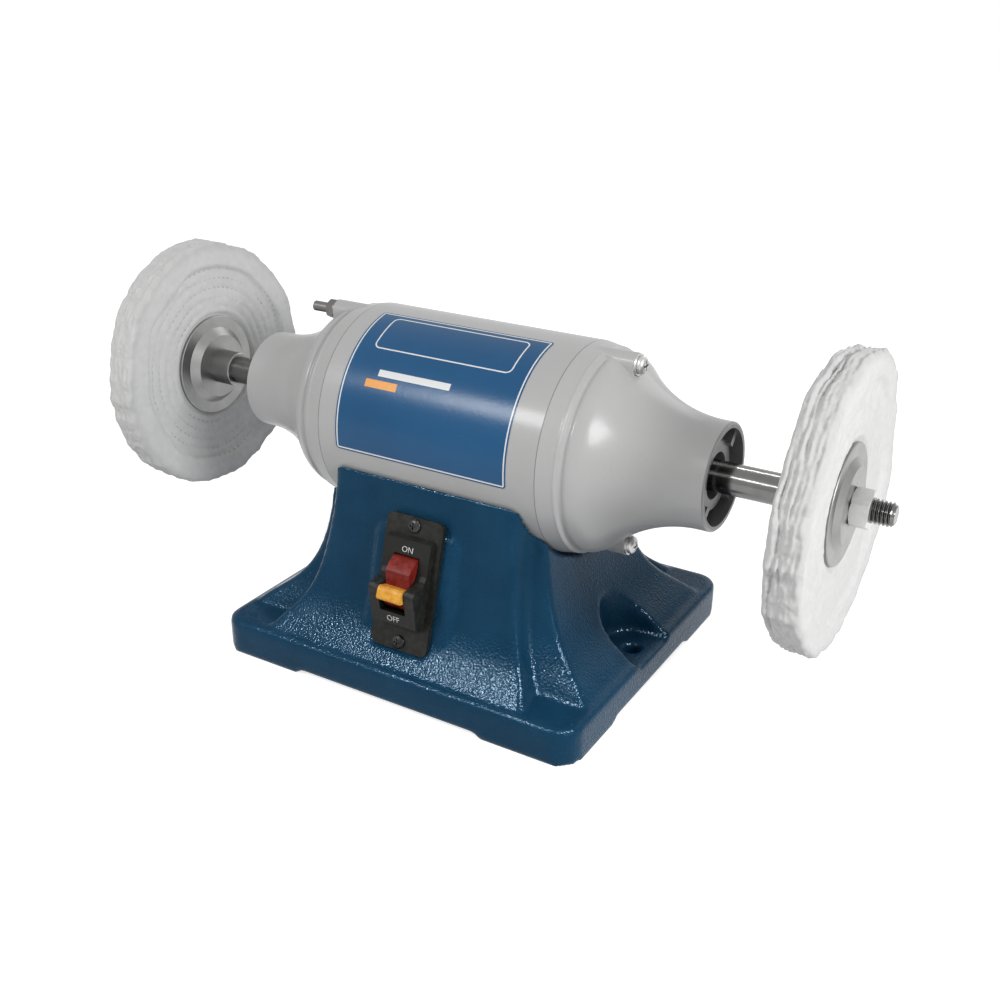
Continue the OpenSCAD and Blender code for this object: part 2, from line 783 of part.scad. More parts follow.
// Bearing hub with the pocket on its inner side
module bell_hub() {
    on_axis() rotate_extrude() polygon([
        [bearing_or + slip_gap, hub_start_x], [hub_r, hub_start_x], [hub_r, pocket_end_x],
        [hub_face_r, hub_face_x - 1], [hub_face_r - 1, hub_face_x],
        [hub_hole_d / 2, hub_face_x], [hub_hole_d / 2, pocket_end_x],
        [bearing_or + slip_gap, pocket_end_x]
    ]);
}

// One end bell: shell, spigot, hub on four ribs, and two bosses for the long bolts
module end_bell(side) {
    rib_from = hub_start_x + 5;
    color(paint_grey) on_side(side) difference() {
        union() {
            difference() {
                bell_outside();
                bell_inside();
            }
            ring(shell_in - fit_gap, spigot_in, seam_x - spigot_len, seam_x + eps);
            bell_hub();
            intersection() {
                bell_outside();
                for (a = [45:90:315]) on_axis(rib_from) rotate([0, 0, a])
                    translate([hub_face_r - 1.2, -rib_t / 2, 0])
                        cube([bell_end_r, rib_t, bell_end_x - rib_from - 2.4]);
            }
            for (z = [-1, 1]) on_axis(seam_x) translate([z * tie_circle, 0, 0]) {
                cylinder(h = tie_boss_len, r = tie_boss_r);
                translate([z > 0 ? -tie_boss_r : 0, -tie_boss_r, lip_len])
                    cube([tie_boss_r, 2 * tie_boss_r, tie_boss_len - lip_len]);
            }
        }
        on_axis(seam_x) cylinder(h = pocket_end_x - seam_x, r = bearing_or + slip_gap);
        for (z = [-1, 1]) on_axis(seam_x) translate([z * tie_circle, 0, 0]) {
            translate([0, 0, -spigot_len - eps])
                cylinder(h = tie_boss_len + spigot_len + 2 * eps, r = tie_r + screw_gap);
            translate([0, 0, tie_boss_len]) cylinder(h = tie_boss_len, r = tie_boss_r);
        }
    }
}

module left_end_bell() { end_bell(-1); }

module right_end_bell() { end_bell(1); }

// The long bolts run from the right bell's bosses through the shell to the left bell
module tie_bolts() {
    head_x = tie_boss_x + tie_seat_t;
    color(steel) for (z = [-1, 1]) translate([0, 0, z * tie_circle]) on_axis(head_x)
        pan_screw(tie_head_r, tie_head_t, tie_r, 2 * head_x + tie_tip_len + tie_nut_t);
}

module tie_washers() {
    color(steel) for (side = [-1, 1], z = [-1, 1]) on_side(side)
        translate([0, 0, z * tie_circle])
            ring(tie_boss_r - 0.3, tie_r + screw_gap, tie_boss_x + 0.05, tie_boss_x + tie_seat_t - 0.05);
}

module tie_nuts() {
    color(steel) for (z = [-1, 1]) translate([0, 0, z * tie_circle]) on_side(-1)
        on_axis(tie_boss_x + tie_seat_t) hex_nut(tie_nut_af, tie_nut_t, tie_r + run_gap);
}

// Spring washer that loads the right bearing
module wave_washer() {
    color(steel) ring(bearing_or - 0.5, bearing_or - 4, pocket_end_x - 0.2 - wave_t, pocket_end_x - 0.2);
}

module shaft() {
    color(steel) on_axis() rotate_extrude() polygon([
        [0, -tip_x], [arbor_r - tip_chamfer, -tip_x], [arbor_r, tip_chamfer - tip_x],
        [arbor_r, -shoulder_shaft_x], [shaft_r, -shoulder_shaft_x],
        [shaft_r, -left_bearing_x], [shaft_mid_r, -left_bearing_x],
        [shaft_mid_r, -core_half - 6], [rotor_seat_r, -core_half - 6],
        [rotor_seat_r, core_half + 6], [shaft_mid_r, core_half + 6],
        [shaft_mid_r, right_bearing_x], [shaft_r, right_bearing_x],
        [shaft_r, shoulder_shaft_x], [arbor_r, shoulder_shaft_x],
        [arbor_r, tip_x - tip_chamfer], [arbor_r - tip_chamfer, tip_x], [0, tip_x]
    ]);
}

module rotor_core() {
    color(dark_steel) ring(rotor_r, rotor_seat_r + slip_gap, -core_half, core_half);
}

// Cast end rings with fan blades, on both faces of the rotor core
module rotor_cage() {
    ring_out = rotor_r - 1;
    ring_in = rotor_r - 8.5;
    color(steel) for (side = [-1, 1]) on_side(side) {
        ring(ring_out, ring_in, core_half + 0.05, core_half + cage_ring_len);
        for (i = [0:fan_blades - 1]) on_axis(core_half + cage_ring_len - 0.5)
            rotate([0, 0, i * 360 / fan_blades])
                translate([ring_in + 1, -1, 0]) cube([ring_out - ring_in - 2, 2, fan_len]);
    }
}

// A bearing's place on each side
function bearing_x(side) = side > 0 ? right_bearing_x : left_bearing_x;

// Groove that the balls run in
module ball_track() {
    rotate_extrude() translate([ball_circle, bearing_w / 2]) circle(r = ball_r + run_gap);
}

module outer_race(side) {
    color(steel) on_side(side) on_axis(bearing_x(side)) difference() {
        cylinder(h = bearing_w, r = bearing_or);
        translate([0, 0, -eps]) cylinder(h = bearing_w + 2 * eps, r = bearing_or - race_gap);
        ball_track();
    }
}

module inner_race(side) {
    color(steel) on_side(side) on_axis(bearing_x(side)) difference() {
        cylinder(h = bearing_w, r = shaft_r + race_gap);
        translate([0, 0, -eps]) cylinder(h = bearing_w + 2 * eps, r = shaft_r + slip_gap);
        ball_track();
    }
}

// The balls and the cage that spaces them
module ball_cage(side) {
    color(steel) on_side(side) on_axis(bearing_x(side)) {
        difference() {
            translate([0, 0, (bearing_w - cage_w) / 2])
                cylinder(h = cage_w, r = ball_circle + cage_t / 2);
            translate([0, 0, -eps])
                cylinder(h = bearing_w + 2 * eps, r = ball_circle - cage_t / 2);
            at_balls() rotate([0, 90, 0])
                cylinder(h = 4 * cage_t, r = ball_r + screw_gap, center = true);
        }
        at_balls() sphere(r = ball_r, $fn = 24);
    }
}

module at_balls() {
    for (i = [0:ball_count - 1]) rotate([0, 0, i * 360 / ball_count])
        translate([ball_circle, 0, bearing_w / 2]) children();
}

module left_outer_race() { outer_race(-1); }

module right_outer_race() { outer_race(1); }

module left_inner_race() { inner_race(-1); }

module right_inner_race() { inner_race(1); }

module left_ball_cage() { ball_cage(-1); }

module right_ball_cage() { ball_cage(1); }

// Inner flange: a dished plate on a collar that seats on the shaft's shoulder
module inner_flange(side) {
    disc_x = inner_face_x - flange_t - inner_raise;
    bore = arbor_r + run_gap;
    color(steel) on_side(side) on_axis() rotate_extrude() polygon([
        [shaft_r + slip_gap, collar_x], [collar_r - 0.5, collar_x], [collar_r, collar_x + 0.5],
        [collar_r, disc_x], [flange_disc_r, disc_x],
        [flange_cone_r, inner_face_x - flange_t], [flange_r - 0.4, inner_face_x - flange_t],
        [flange_r, inner_face_x - flange_t + 0.4],
        [flange_r, inner_face_x], [flange_cone_r - 0.8, inner_face_x],
        [flange_disc_r - 0.8, disc_x + flange_t], [bore, disc_x + flange_t],
        [bore, shoulder_shaft_x + slip_gap], [shaft_r + slip_gap, shoulder_shaft_x + slip_gap]
    ]);
}

// Outer flange: a dished plate whose raised centre takes the nut
module outer_flange(side) {
    top = outer_flange_x;
    bore = arbor_r + run_gap;
    color(steel) on_side(side) on_axis() rotate_extrude() polygon([
        [bore, top - flange_t], [flange_disc_r - 0.8, top - flange_t],
        [flange_cone_r - 0.8, outer_face_x], [flange_r, outer_face_x],
        [flange_r, outer_face_x + flange_t - 0.4], [flange_r - 0.4, outer_face_x + flange_t],
        [flange_cone_r, outer_face_x + flange_t], [flange_disc_r, top], [bore, top]
    ]);
}

module left_inner_flange() { inner_flange(-1); }

module right_inner_flange() { inner_flange(1); }

module left_outer_flange() { outer_flange(-1); }

module right_outer_flange() { outer_flange(1); }

module left_arbor_nut() {
    color(steel) on_side(-1) on_axis(nut_x) hex_nut(nut_af, nut_t, arbor_r + run_gap);
}

module right_arbor_nut() {
    color(steel) on_axis(nut_x) hex_nut(nut_af, nut_t, arbor_r + run_gap);
}

// Stations across one face of a wheel, from the clamp to the edge: [radius, half thickness]
function wheel_face() =
    let (
        hub = wheel_hub_w / 2 - 0.2,
        puff = wheel_w / 2,
        edge = wheel_edge_w / 2,
        last_r = stitch_first_r + (stitch_rows - 1) * stitch_pitch,
        loose = wheel_r - last_r
    )
    concat(
        [[flange_r + 0.6, hub], [(flange_r + stitch_first_r) / 2 + 0.3, puff - 0.5]],
        [for (k = [0:stitch_rows - 1]) let (r = stitch_first_r + k * stitch_pitch)
            each [[r, puff - stitch_dip], [r + stitch_pitch / 2, puff + 0.2 * k / stitch_rows]]],
        [[last_r + 0.5 * loose, edge], [last_r + 0.8 * loose, edge - 0.3],
         [wheel_r - 0.8, edge - 1.8], [wheel_r, edge - 4.5]]
    );

// How the loose edge wanders: along the shaft and outwards
function edge_sway(a, seed, curl) =
    ruffle * (sin(3 * a + seed) + 0.5 * sin(7 * a + 2 * seed)) + curl * pow(max(0, sin(a)), 2);
function edge_out(a, seed) = ruffle * 0.5 * (sin(5 * a - seed) + 0.7 * sin(13 * a + 3 * seed) - 0.5);

// A stitched cotton wheel about the shaft axis, clamped flat between its flanges
module buffing_wheel(side, seed, curl) {
    face = wheel_face();
    count = len(face);
    stations = concat(face, [for (i = [count - 1:-1:0]) [face[i][0], -face[i][1]]]);
    n = wheel_sides;
    points = [
        for (s = stations, i = [0:n - 1])
            let (
                a = 360 * i / n,
                loose = max(0, (s[0] - flange_r - 4) / (wheel_r - flange_r - 4)),
                r = s[0] + edge_out(a, seed) * pow(loose, 3)
            )
            [r * cos(a), r * sin(a), s[1] + edge_sway(a, seed, curl) * loose * loose]
    ];
    rings = 2 * count;
    color(cotton) on_side(side) on_axis(wheel_mid_x) difference() {
        polyhedron(points, concat(
            [[for (i = [n - 1:-1:0]) i]],
            [for (f = ring_faces(rings, n)) [f[0], f[2], f[1]]],
            [[for (i = [0:n - 1]) (rings - 1) * n + i]]
        ));
        translate([0, 0, -wheel_w]) cylinder(h = 2 * wheel_w, r = arbor_r + run_gap);
    }
}

module left_buffing_wheel() { buffing_wheel(-1, 40, left_curl); }

module right_buffing_wheel() { buffing_wheel(1, 115, right_curl); }

// Side view of the shroud: [depth in front of the plate, height up the plate]
shroud_side = [
    [-0.5, 27.5], [0, 27.5], [3.6, 25.5], [4.2, 8], [5.2, 5.2], [7.4, 3], [guard_h - 3.2, 1],
    [guard_h - 1, 0], [guard_h, -1.8], [guard_h - 0.6, -4], [7.5, -21.6], [0, -24], [-0.5, -24]
];

// Turns a side view of [depth, height] points into a bar of the given width
module side_bar(points, wid) {
    translate([-wid / 2, 0, 0]) rotate([90, 0, 90]) linear_extrude(wid)
        polygon([for (p = points) [-p[0], p[1]]]);
}

module switch_plate() {
    color(black_plastic) at_switch() difference() {
        union() {
            rotate([-90, 0, 0]) rounded_plate(switch_wid, switch_h, plate_corner_r, switch_t);
            side_bar(shroud_side, shroud_wid);
        }
        translate([-slot_half, pivot_y, pivot_z]) rotate([0, 90, 0])
            cylinder(h = 2 * slot_half, r = toggle_swing_r + 0.4);
        translate([-slot_half, -guard_h - eps, -14.5]) cube([2 * slot_half, guard_h + eps, 26]);
        for (z = [-1, 1]) translate([0, -eps, z * switch_screw_pitch / 2]) rotate([-90, 0, 0])
            cylinder(h = switch_t + 2 * eps, r = 2 + screw_gap);
    }
}

// The moulded switch body behind the plate, open in front for the toggle
module switch_body() {
    color(black_plastic) at_switch() difference() {
        translate([-body_half_w, switch_t + 0.05, -body_half_h])
            cube([2 * body_half_w, body_back - switch_t, 2 * body_half_h]);
        translate([-slot_half, 0, pivot_z - toggle_swing_r - 0.4])
            cube([2 * slot_half, 16, 2 * toggle_swing_r + 0.8]);
        translate([-body_half_w - eps, pivot_y, pivot_z]) rotate([0, 90, 0])
            cylinder(h = 2 * body_half_w + 2 * eps, r = pivot_r + slip_gap);
    }
}

module switch_terminals() {
    color(copper) at_switch() for (x = [-1, 1], z = [-1, 1])
        translate([x * 6 - 3.15, body_back + 0.1, z * 12 - 0.4]) cube([6.3, 8, 0.8]);
}

// Side view of the toggle
toggle_side = [
    [-10, 7], [0, 16.5], [4.6, 16], [6.4, 15], [11, 10.4], [11.2, 9], [9.9, 4], [key_seat, 1],
    [key_seat, -9], [7.5, -11.5], [1, -14.8], [-10, -6]
];

// The rocking toggle, with a socket for the safety key
module switch_toggle() {
    color(toggle_red) at_switch() difference() {
        intersection() {
            side_bar(toggle_side, toggle_wid);
            translate([-toggle_half, pivot_y, pivot_z]) rotate([0, 90, 0])
                cylinder(h = toggle_wid, r = toggle_swing_r);
        }
        translate([-toggle_half - eps, pivot_y, pivot_z]) rotate([0, 90, 0])
            cylinder(h = toggle_wid + 2 * eps, r = pivot_r + run_gap);
        translate([-tongue_half - screw_gap, -key_seat - eps,
                   key_top - key_h / 2 - tongue_t / 2 - screw_gap])
            cube([2 * (tongue_half + screw_gap), tongue_deep + eps + 0.4, tongue_t + 2 * screw_gap]);
    }
}

module toggle_pin() {
    color(steel) at_switch() translate([0.2 - body_half_w, pivot_y, pivot_z]) rotate([0, 90, 0])
        cylinder(h = 2 * body_half_w - 0.4, r = pivot_r);
}

// The lock-off key: a head with rounded edges and a tongue that plugs into the toggle
module safety_key() {
    mid = key_top - key_h / 2;
    head = [
        [key_seat + 0.1, key_top], [key_front - 1.8, key_top + 0.2], [key_front - 0.6, key_top - 0.5],
        [key_front, key_top - 2], [key_front + 0.4, key_top - key_h + 1],
        [key_front - 0.4, key_top - key_h], [key_seat + 0.1, key_top - key_h]
    ];
    color(key_orange) at_switch() {
        side_bar(head, toggle_wid);
        translate([-tongue_half, -key_seat - 0.2, mid - tongue_t / 2])
            cube([2 * tongue_half, tongue_deep, tongue_t]);
    }
}

module switch_screws() {
    color(black_plastic) at_switch() for (z = [-1, 1])
        translate([0, -0.05, z * switch_screw_pitch / 2]) rotate([90, 0, 0])
            pan_screw(plate_head_r, plate_head_t, small_screw_r, plate_screw_len);
}

module capacitor() {
    color(black_plastic) translate([-cap_len / 2, cap_y, cap_z]) rotate([0, 90, 0]) {
        rotate_extrude() polygon([
            [0, 0], [cap_r - 1, 0], [cap_r, 1], [cap_r, cap_len - 1], [cap_r - 1, cap_len], [0, cap_len]
        ]);
        for (y = [-1, 1]) translate([-3.15, y * 6 - 0.4, cap_len - 0.5]) cube([6.3, 0.8, 7.5]);
    }
}

// Strap over the capacitor, with a foot on each side
module capacitor_clamp() {
    inner = cap_r + seat_gap;
    outer = inner + strap_t;
    drop = cap_z - ledge_z - 0.1;
    color(steel) translate([-strap_w / 2, cap_y, cap_z]) rotate([90, 0, 90]) difference() {
        linear_extrude(strap_w) polygon(concat(
            [[outer + strap_foot, -drop], [outer + strap_foot, strap_t - drop], [outer, strap_t - drop]],
            arc([0, 0], outer, 0, 180, 16),
            [[-outer, strap_t - drop], [-outer - strap_foot, strap_t - drop],
             [-outer - strap_foot, -drop], [-inner, -drop]],
            arc([0, 0], inner, 180, 0, 16),
            [[inner, -drop]]
        ));
        for (y = [-1, 1]) translate([y * (outer + strap_foot / 2), -drop - eps, strap_w / 2])
            rotate([-90, 0, 0]) cylinder(h = strap_t + 2 * eps, r = small_screw_r + screw_gap);
    }
}

// Places children on the clamp's two screws, at the top of its feet
module at_clamp_screws() {
    reach = cap_r + seat_gap + strap_t + strap_foot / 2;
    for (y = [-1, 1]) translate([0, cap_y + y * reach, ledge_z + 0.1 + strap_t]) children();
}

module clamp_screws() {
    color(steel) at_clamp_screws() translate([0, 0, 0.05])
        pan_screw(clamp_head_r, clamp_head_t, small_screw_r, clamp_screw_len);
}

// A vector of length one, and a vector turned square to the direction d
function unit(v) = v / norm(v);
function square_to(v, d) = unit(v - (v * d) * d);

// The side vector u carried along a list of directions without twisting
function carried(dirs, u, i = 0) =
    i == len(dirs) ? [] : let (v = square_to(u, dirs[i])) concat([v], carried(dirs, v, i + 1));

// Points along a smooth curve that passes through every given point
function smooth(p, steps) = concat(
    [for (i = [0:len(p) - 2], k = [0:steps - 1])
        let (
            t = k / steps,
            a = i > 0 ? p[i - 1] : 2 * p[0] - p[1],
            d = i < len(p) - 2 ? p[i + 2] : 2 * p[i + 1] - p[i]
        )
        p[i] + 0.5 * t * (p[i + 1] - a) + t * t * (a - 2.5 * p[i] + 2 * p[i + 1] - 0.5 * d)
            + t * t * t * (1.5 * p[i] - 1.5 * p[i + 1] + 0.5 * d - 0.5 * a)],
    [p[len(p) - 1]]
);

// A round wire along the smooth curve through the given points
module wire(through) {
    n = 8;
    path = smooth(through, 4);
    last = len(path) - 1;
    dirs = [for (i = [0:last]) unit(path[min(i + 1, last)] - path[max(i - 1, 0)])];
    sides = carried(dirs, [0.3, 0.5, 0.8]);
    points = [
        for (i = [0:last], k = [0:n - 1])
            path[i] + wire_r * (cos(360 * k / n) * sides[i] + sin(360 * k / n) * cross(dirs[i], sides[i]))
    ];
    polyhedron(points, concat(
        [[for (k = [0:n - 1]) k]],
        ring_faces(last + 1, n),
        [[for (k = [n - 1:-1:0]) last * n + k]]
    ));
}

// A point in the switch's own frame, in the frame of the whole machine
function from_switch(x, y, z) = [
    x,
    y * cos(switch_lean) + z * sin(switch_lean) - switch_y,
    z * cos(switch_lean) - y * sin(switch_lean) + switch_z
];

// Leads from the switch and the capacitor, two of them up into the motor
module lead_wires() {
    blade_y = body_back + 9.2;
    winding_x = core_half + winding_len + 0.6;
    up_x = cradle_bolt_x - 1;
    top_z = axis_h - tie_circle + 10;
    hole_z = axis_h - seat_r - saddle_t;
    for (side = [-1, 1]) color(side > 0 ? toggle_red : black_rubber) wire([
        from_switch(side * 6, blade_y, side * 12),
        from_switch(side * 6, blade_y + 6, side * 12 - 1),
        [up_x - 3.3 * wire_bend, side * wire_side - 2.9 * wire_bend, hole_z - 2.7 * wire_bend + 5 * side],
        [up_x - 4, side * wire_side - 3, hole_z - 2.4 * wire_bend + 3 * side],
        [up_x, side * wire_side, hole_z - wire_bend],
        [up_x, side * wire_side, top_z],
        [winding_x, side * wire_side, top_z + 2]
    ]);
    color(paint_grey) wire([
        [cap_len / 2 + 8.2, cap_y - 6, cap_z],
        [cap_len / 2 + 13, cap_y - 9, cap_z + 3],
        [cap_len / 2 - wire_bend, cap_y - 2 * cap_r - 2 * wire_bend, cap_z + 11],
        [4, cap_y - 2 * cap_r - 5.7 * wire_bend, cap_z + 9],
        from_switch(-6, blade_y + 7, 12),
        from_switch(-6, blade_y, 12)
    ]);
}

// Bushing that the supply cord would pass through, flush in the back edge
module cord_gland() {
    color(black_plastic) translate([gland_x, base_wid / 2, gland_z]) rotate([90, 0, 0]) difference() {
        union() {
            translate([0, 0, seat_gap]) cylinder(h = gland_flange_t, r = gland_flange_r);
            translate([0, 0, seat_gap]) cylinder(h = gland_in, r = gland_r);
        }
        translate([0, 0, -eps]) cylinder(h = gland_in + 3 * eps, r = gland_bore / 2);
    }
}

base_casting();
bottom_cover();
cover_screws();
motor_shell();
shell_nuts();
cradle_bolts();
lead_bushing();
stator_core();
left_winding();
right_winding();
left_end_bell();
right_end_bell();
tie_bolts();
tie_washers();
tie_nuts();
wave_washer();
shaft();
rotor_core();
rotor_cage();
left_outer_race();
right_outer_race();
left_inner_race();
right_inner_race();
left_ball_cage();
right_ball_cage();
left_inner_flange();
right_inner_flange();
left_outer_flange();
right_outer_flange();
left_buffing_wheel();
right_buffing_wheel();
left_arbor_nut();
right_arbor_nut();
switch_plate();
switch_body();
switch_terminals();
switch_toggle();
toggle_pin();
safety_key();
switch_screws();
capacitor();
capacitor_clamp();
clamp_screws();
lead_wires();
cord_gland();
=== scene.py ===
import json
import math

import bpy
from mathutils import Matrix, Vector, noise


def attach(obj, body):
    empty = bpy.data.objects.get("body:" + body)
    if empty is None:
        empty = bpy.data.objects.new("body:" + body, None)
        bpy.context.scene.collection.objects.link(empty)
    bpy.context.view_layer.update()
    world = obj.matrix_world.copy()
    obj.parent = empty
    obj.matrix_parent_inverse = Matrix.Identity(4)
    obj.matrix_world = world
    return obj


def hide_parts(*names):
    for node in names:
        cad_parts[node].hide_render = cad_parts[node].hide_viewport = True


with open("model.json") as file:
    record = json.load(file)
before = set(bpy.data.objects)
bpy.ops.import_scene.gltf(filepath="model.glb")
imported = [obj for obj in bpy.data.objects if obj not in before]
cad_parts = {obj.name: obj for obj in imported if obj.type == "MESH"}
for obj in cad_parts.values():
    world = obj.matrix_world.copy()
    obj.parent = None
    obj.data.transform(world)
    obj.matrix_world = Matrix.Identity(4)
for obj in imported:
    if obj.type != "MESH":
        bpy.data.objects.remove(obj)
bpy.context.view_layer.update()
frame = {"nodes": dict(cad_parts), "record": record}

nodes = frame["nodes"]
axisHeight = 0.135    # shaft above the bench
fullTurn = 2 * math.pi
weldWithin = 0.000005

# camera
view = {
    "place": (0.34745, -0.55848, 0.38643),
    "turn": (65.4731, -0.3572, 30.9677),   # degrees
    "lens": 44.012, "film": 36.0, "nearest": 0.01, "farthest": 60,
}

cameraData = bpy.data.cameras.new("studioCamera")
cameraData.sensor_fit = "HORIZONTAL"
cameraData.sensor_width = view["film"]
cameraData.lens = view["lens"]
cameraData.clip_start = view["nearest"]
cameraData.clip_end = view["farthest"]
camera = bpy.data.objects.new("studioCamera", cameraData)
camera.location = view["place"]
camera.rotation_euler = [math.radians(a) for a in view["turn"]]
bpy.context.collection.objects.link(camera)
bpy.context.scene.camera = camera
print("camera stands")


# small helpers for meshes
def pickNothing():
    if bpy.context.mode != "OBJECT":
        bpy.ops.object.mode_set(mode="OBJECT")
    bpy.ops.object.select_all(action="DESELECT")


def pickOnly(piece):
    pickNothing()
    piece.select_set(True)
    bpy.context.view_layer.objects.active = piece


def editAll(piece):
    pickOnly(piece)
    bpy.ops.object.mode_set(mode="EDIT")
    bpy.ops.mesh.select_mode(type="VERT")
    bpy.ops.mesh.select_all(action="SELECT")


def leaveEdit():
    bpy.ops.object.mode_set(mode="OBJECT")


def modify(piece, kind, **values):
    pickOnly(piece)
    modifier = piece.modifiers.new(kind.lower(), kind)
    for name, value in values.items():
        setattr(modifier, name, value)
    bpy.ops.object.modifier_apply(modifier=modifier.name)


def cut(at, facing, **sides):
    # slices the whole of the mesh that is being edited
    bpy.ops.mesh.select_all(action="SELECT")
    bpy.ops.mesh.bisect(plane_co=at, plane_no=facing, **sides)


def linePiece(name, points, edges):
    mesh = bpy.data.meshes.new(name)
    mesh.from_pydata(points, edges, [])
    piece = bpy.data.objects.new(name, mesh)
    bpy.context.collection.objects.link(piece)
    return piece


def chain(start, count):
    return [(start + k, start + k + 1) for k in range(count - 1)]


def mergedCopy(nodeName, name):
    # the CAD mesh is loose triangles, so a copy is welded before it is shaped
    piece = nodes[nodeName].copy()
    piece.data = nodes[nodeName].data.copy()
    piece.name = name
    piece.data.name = name
    piece.parent = None
    piece.matrix_world = Matrix.Identity(4)
    bpy.context.collection.objects.link(piece)
    editAll(piece)
    bpy.ops.mesh.remove_doubles(threshold=weldWithin)
    leaveEdit()
    bpy.ops.mesh.customdata_custom_splitnormals_clear()
    piece.data.materials.clear()
    return piece


def clamp(value):
    return min(1.0, max(0.0, value))


def smoothStep(value, low, high):
    t = clamp((value - low) / (high - low))
    return t * t * (3 - 2 * t)


def hump(off, spread=1.0):
    return math.exp(-off * off / spread)


def smoothByAngle(piece, degrees):
    pickOnly(piece)
    bpy.ops.object.shade_smooth_by_angle(angle=math.radians(degrees))


# small helpers for shaders
def link(tree, source, target):
    tree.links.new(source, target)


def addNode(tree, kind, **values):
    node = tree.nodes.new(kind)
    for name, value in values.items():
        setattr(node, name, value)
    return node


def mathOf(tree, operation, a, b=0.0):
    node = addNode(tree, "ShaderNodeMath", operation=operation)
    for socket, value in zip(node.inputs, (a, b)):
        if isinstance(value, (int, float)):
            socket.default_value = value
        else:
            link(tree, value, socket)
    return node.outputs[0]


def plus(tree, a, b):
    return mathOf(tree, "ADD", a, b)


def minus(tree, a, b):
    return mathOf(tree, "SUBTRACT", a, b)


def times(tree, a, b):
    return mathOf(tree, "MULTIPLY", a, b)


def larger(tree, a, b):
    return mathOf(tree, "MAXIMUM", a, b)


def awayFrom(tree, a, b):
    return mathOf(tree, "ABSOLUTE", minus(tree, a, b))


def diagonal(tree, a, b):
    return mathOf(tree, "SQRT", plus(tree, a, b))


def remap(tree, value, low, high, newLow=0.0, newHigh=1.0):
    node = addNode(tree, "ShaderNodeMapRange", clamp=True)
    link(tree, value, node.inputs["Value"])
    node.inputs["From Min"].default_value = low
    node.inputs["From Max"].default_value = high
    node.inputs["To Min"].default_value = newLow
    node.inputs["To Max"].default_value = newHigh
    return node.outputs["Result"]


def noiseOf(tree, vector, scale, detail=3.0, rough=0.5):
    node = addNode(tree, "ShaderNodeTexNoise")
    link(tree, vector, node.inputs["Vector"])
    if isinstance(scale, (int, float)):
        node.inputs["Scale"].default_value = scale
    else:
        link(tree, scale, node.inputs["Scale"])
    node.inputs["Detail"].default_value = detail
    node.inputs["Roughness"].default_value = rough
    return node.outputs["Fac"]


def mixColour(tree, factor, a, b):
    node = addNode(tree, "ShaderNodeMix", data_type="RGBA", blend_type="MIX")
    for index, value in ((0, factor), (6, a), (7, b)):
        if isinstance(value, tuple):
            node.inputs[index].default_value = (*value, 1.0)
        else:
            link(tree, value, node.inputs[index])
    return node.outputs[2]


def separate(tree, vector):
    node = addNode(tree, "ShaderNodeSeparateXYZ")
    link(tree, vector, node.inputs["Vector"])
    return node.outputs


def shaftPlace(tree, vector):
    # place measured from the shaft axis, and the distance from that axis
    centred = addNode(tree, "ShaderNodeMapping", vector_type="POINT")
    centred.inputs["Location"].default_value = (0, 0, -axisHeight)
    link(tree, vector, centred.inputs["Vector"])
    spot = separate(tree, centred.outputs["Vector"])
    squares = [mathOf(tree, "POWER", spot[side], 2.0) for side in "YZ"]
    return spot, diagonal(tree, *squares)


def newGroup(name, numbers, results):
    # a vector and some numbers go in, numbers come out
    tree = bpy.data.node_groups.new(name, "ShaderNodeTree")
    tree.interface.new_socket(name="Vector", in_out="INPUT", socket_type="NodeSocketVector")
    for way, labels in (("INPUT", numbers), ("OUTPUT", results)):
        for label in labels:
            tree.interface.new_socket(name=label, in_out=way, socket_type="NodeSocketFloat")
    given = tree.nodes.new("NodeGroupInput")
    wanted = tree.nodes.new("NodeGroupOutput")
    return tree, given.outputs, wanted.inputs


# shared effects
def hammeredEffect():
    # hammered enamel: little pebbles with a soft wander between them
    mix = {"pebble": 0.7, "ripple": 0.9, "wander": 0.6, "smoothness": 0.6, "shade": (0.3, 0.7)}
    tree, given, wanted = newGroup("hammeredEnamel", ("Pebbles", "Wander"), ("Height", "Shade"))
    ripple = noiseOf(tree, given["Vector"], given["Pebbles"], detail=1.0)
    wander = noiseOf(tree, given["Vector"], given["Wander"])
    cells = addNode(tree, "ShaderNodeTexVoronoi", feature="SMOOTH_F1")
    cells.inputs["Smoothness"].default_value = mix["smoothness"]
    link(tree, given["Vector"], cells.inputs["Vector"])
    link(tree, given["Pebbles"], cells.inputs["Scale"])
    pebble = times(tree, cells.outputs["Distance"], mix["pebble"])
    height = plus(tree, pebble, times(tree, ripple, mix["ripple"]))
    link(tree, plus(tree, height, times(tree, wander, mix["wander"])), wanted["Height"])
    link(tree, remap(tree, wander, *mix["shade"]), wanted["Shade"])
    return tree


def paintEffect():
    # smooth paint: orange peel, faint cloudiness and a few settled specks
    mix = {"cloud": 5.0, "cloudiness": (0.3, 0.7), "speckSize": 900.0, "specks": (0.74, 0.78)}
    tree, given, wanted = newGroup("paintSkin", ("Peel", "Cloud"), ("Height", "Cloudiness", "Specks"))
    peel = noiseOf(tree, given["Vector"], given["Peel"], detail=2.0)
    cloud = noiseOf(tree, given["Vector"], given["Cloud"], detail=4.0)
    speck = noiseOf(tree, given["Vector"], mix["speckSize"], detail=1.0)
    link(tree, plus(tree, peel, times(tree, cloud, mix["cloud"])), wanted["Height"])
    link(tree, remap(tree, cloud, *mix["cloudiness"]), wanted["Cloudiness"])
    link(tree, remap(tree, speck, *mix["specks"]), wanted["Specks"])
    return tree


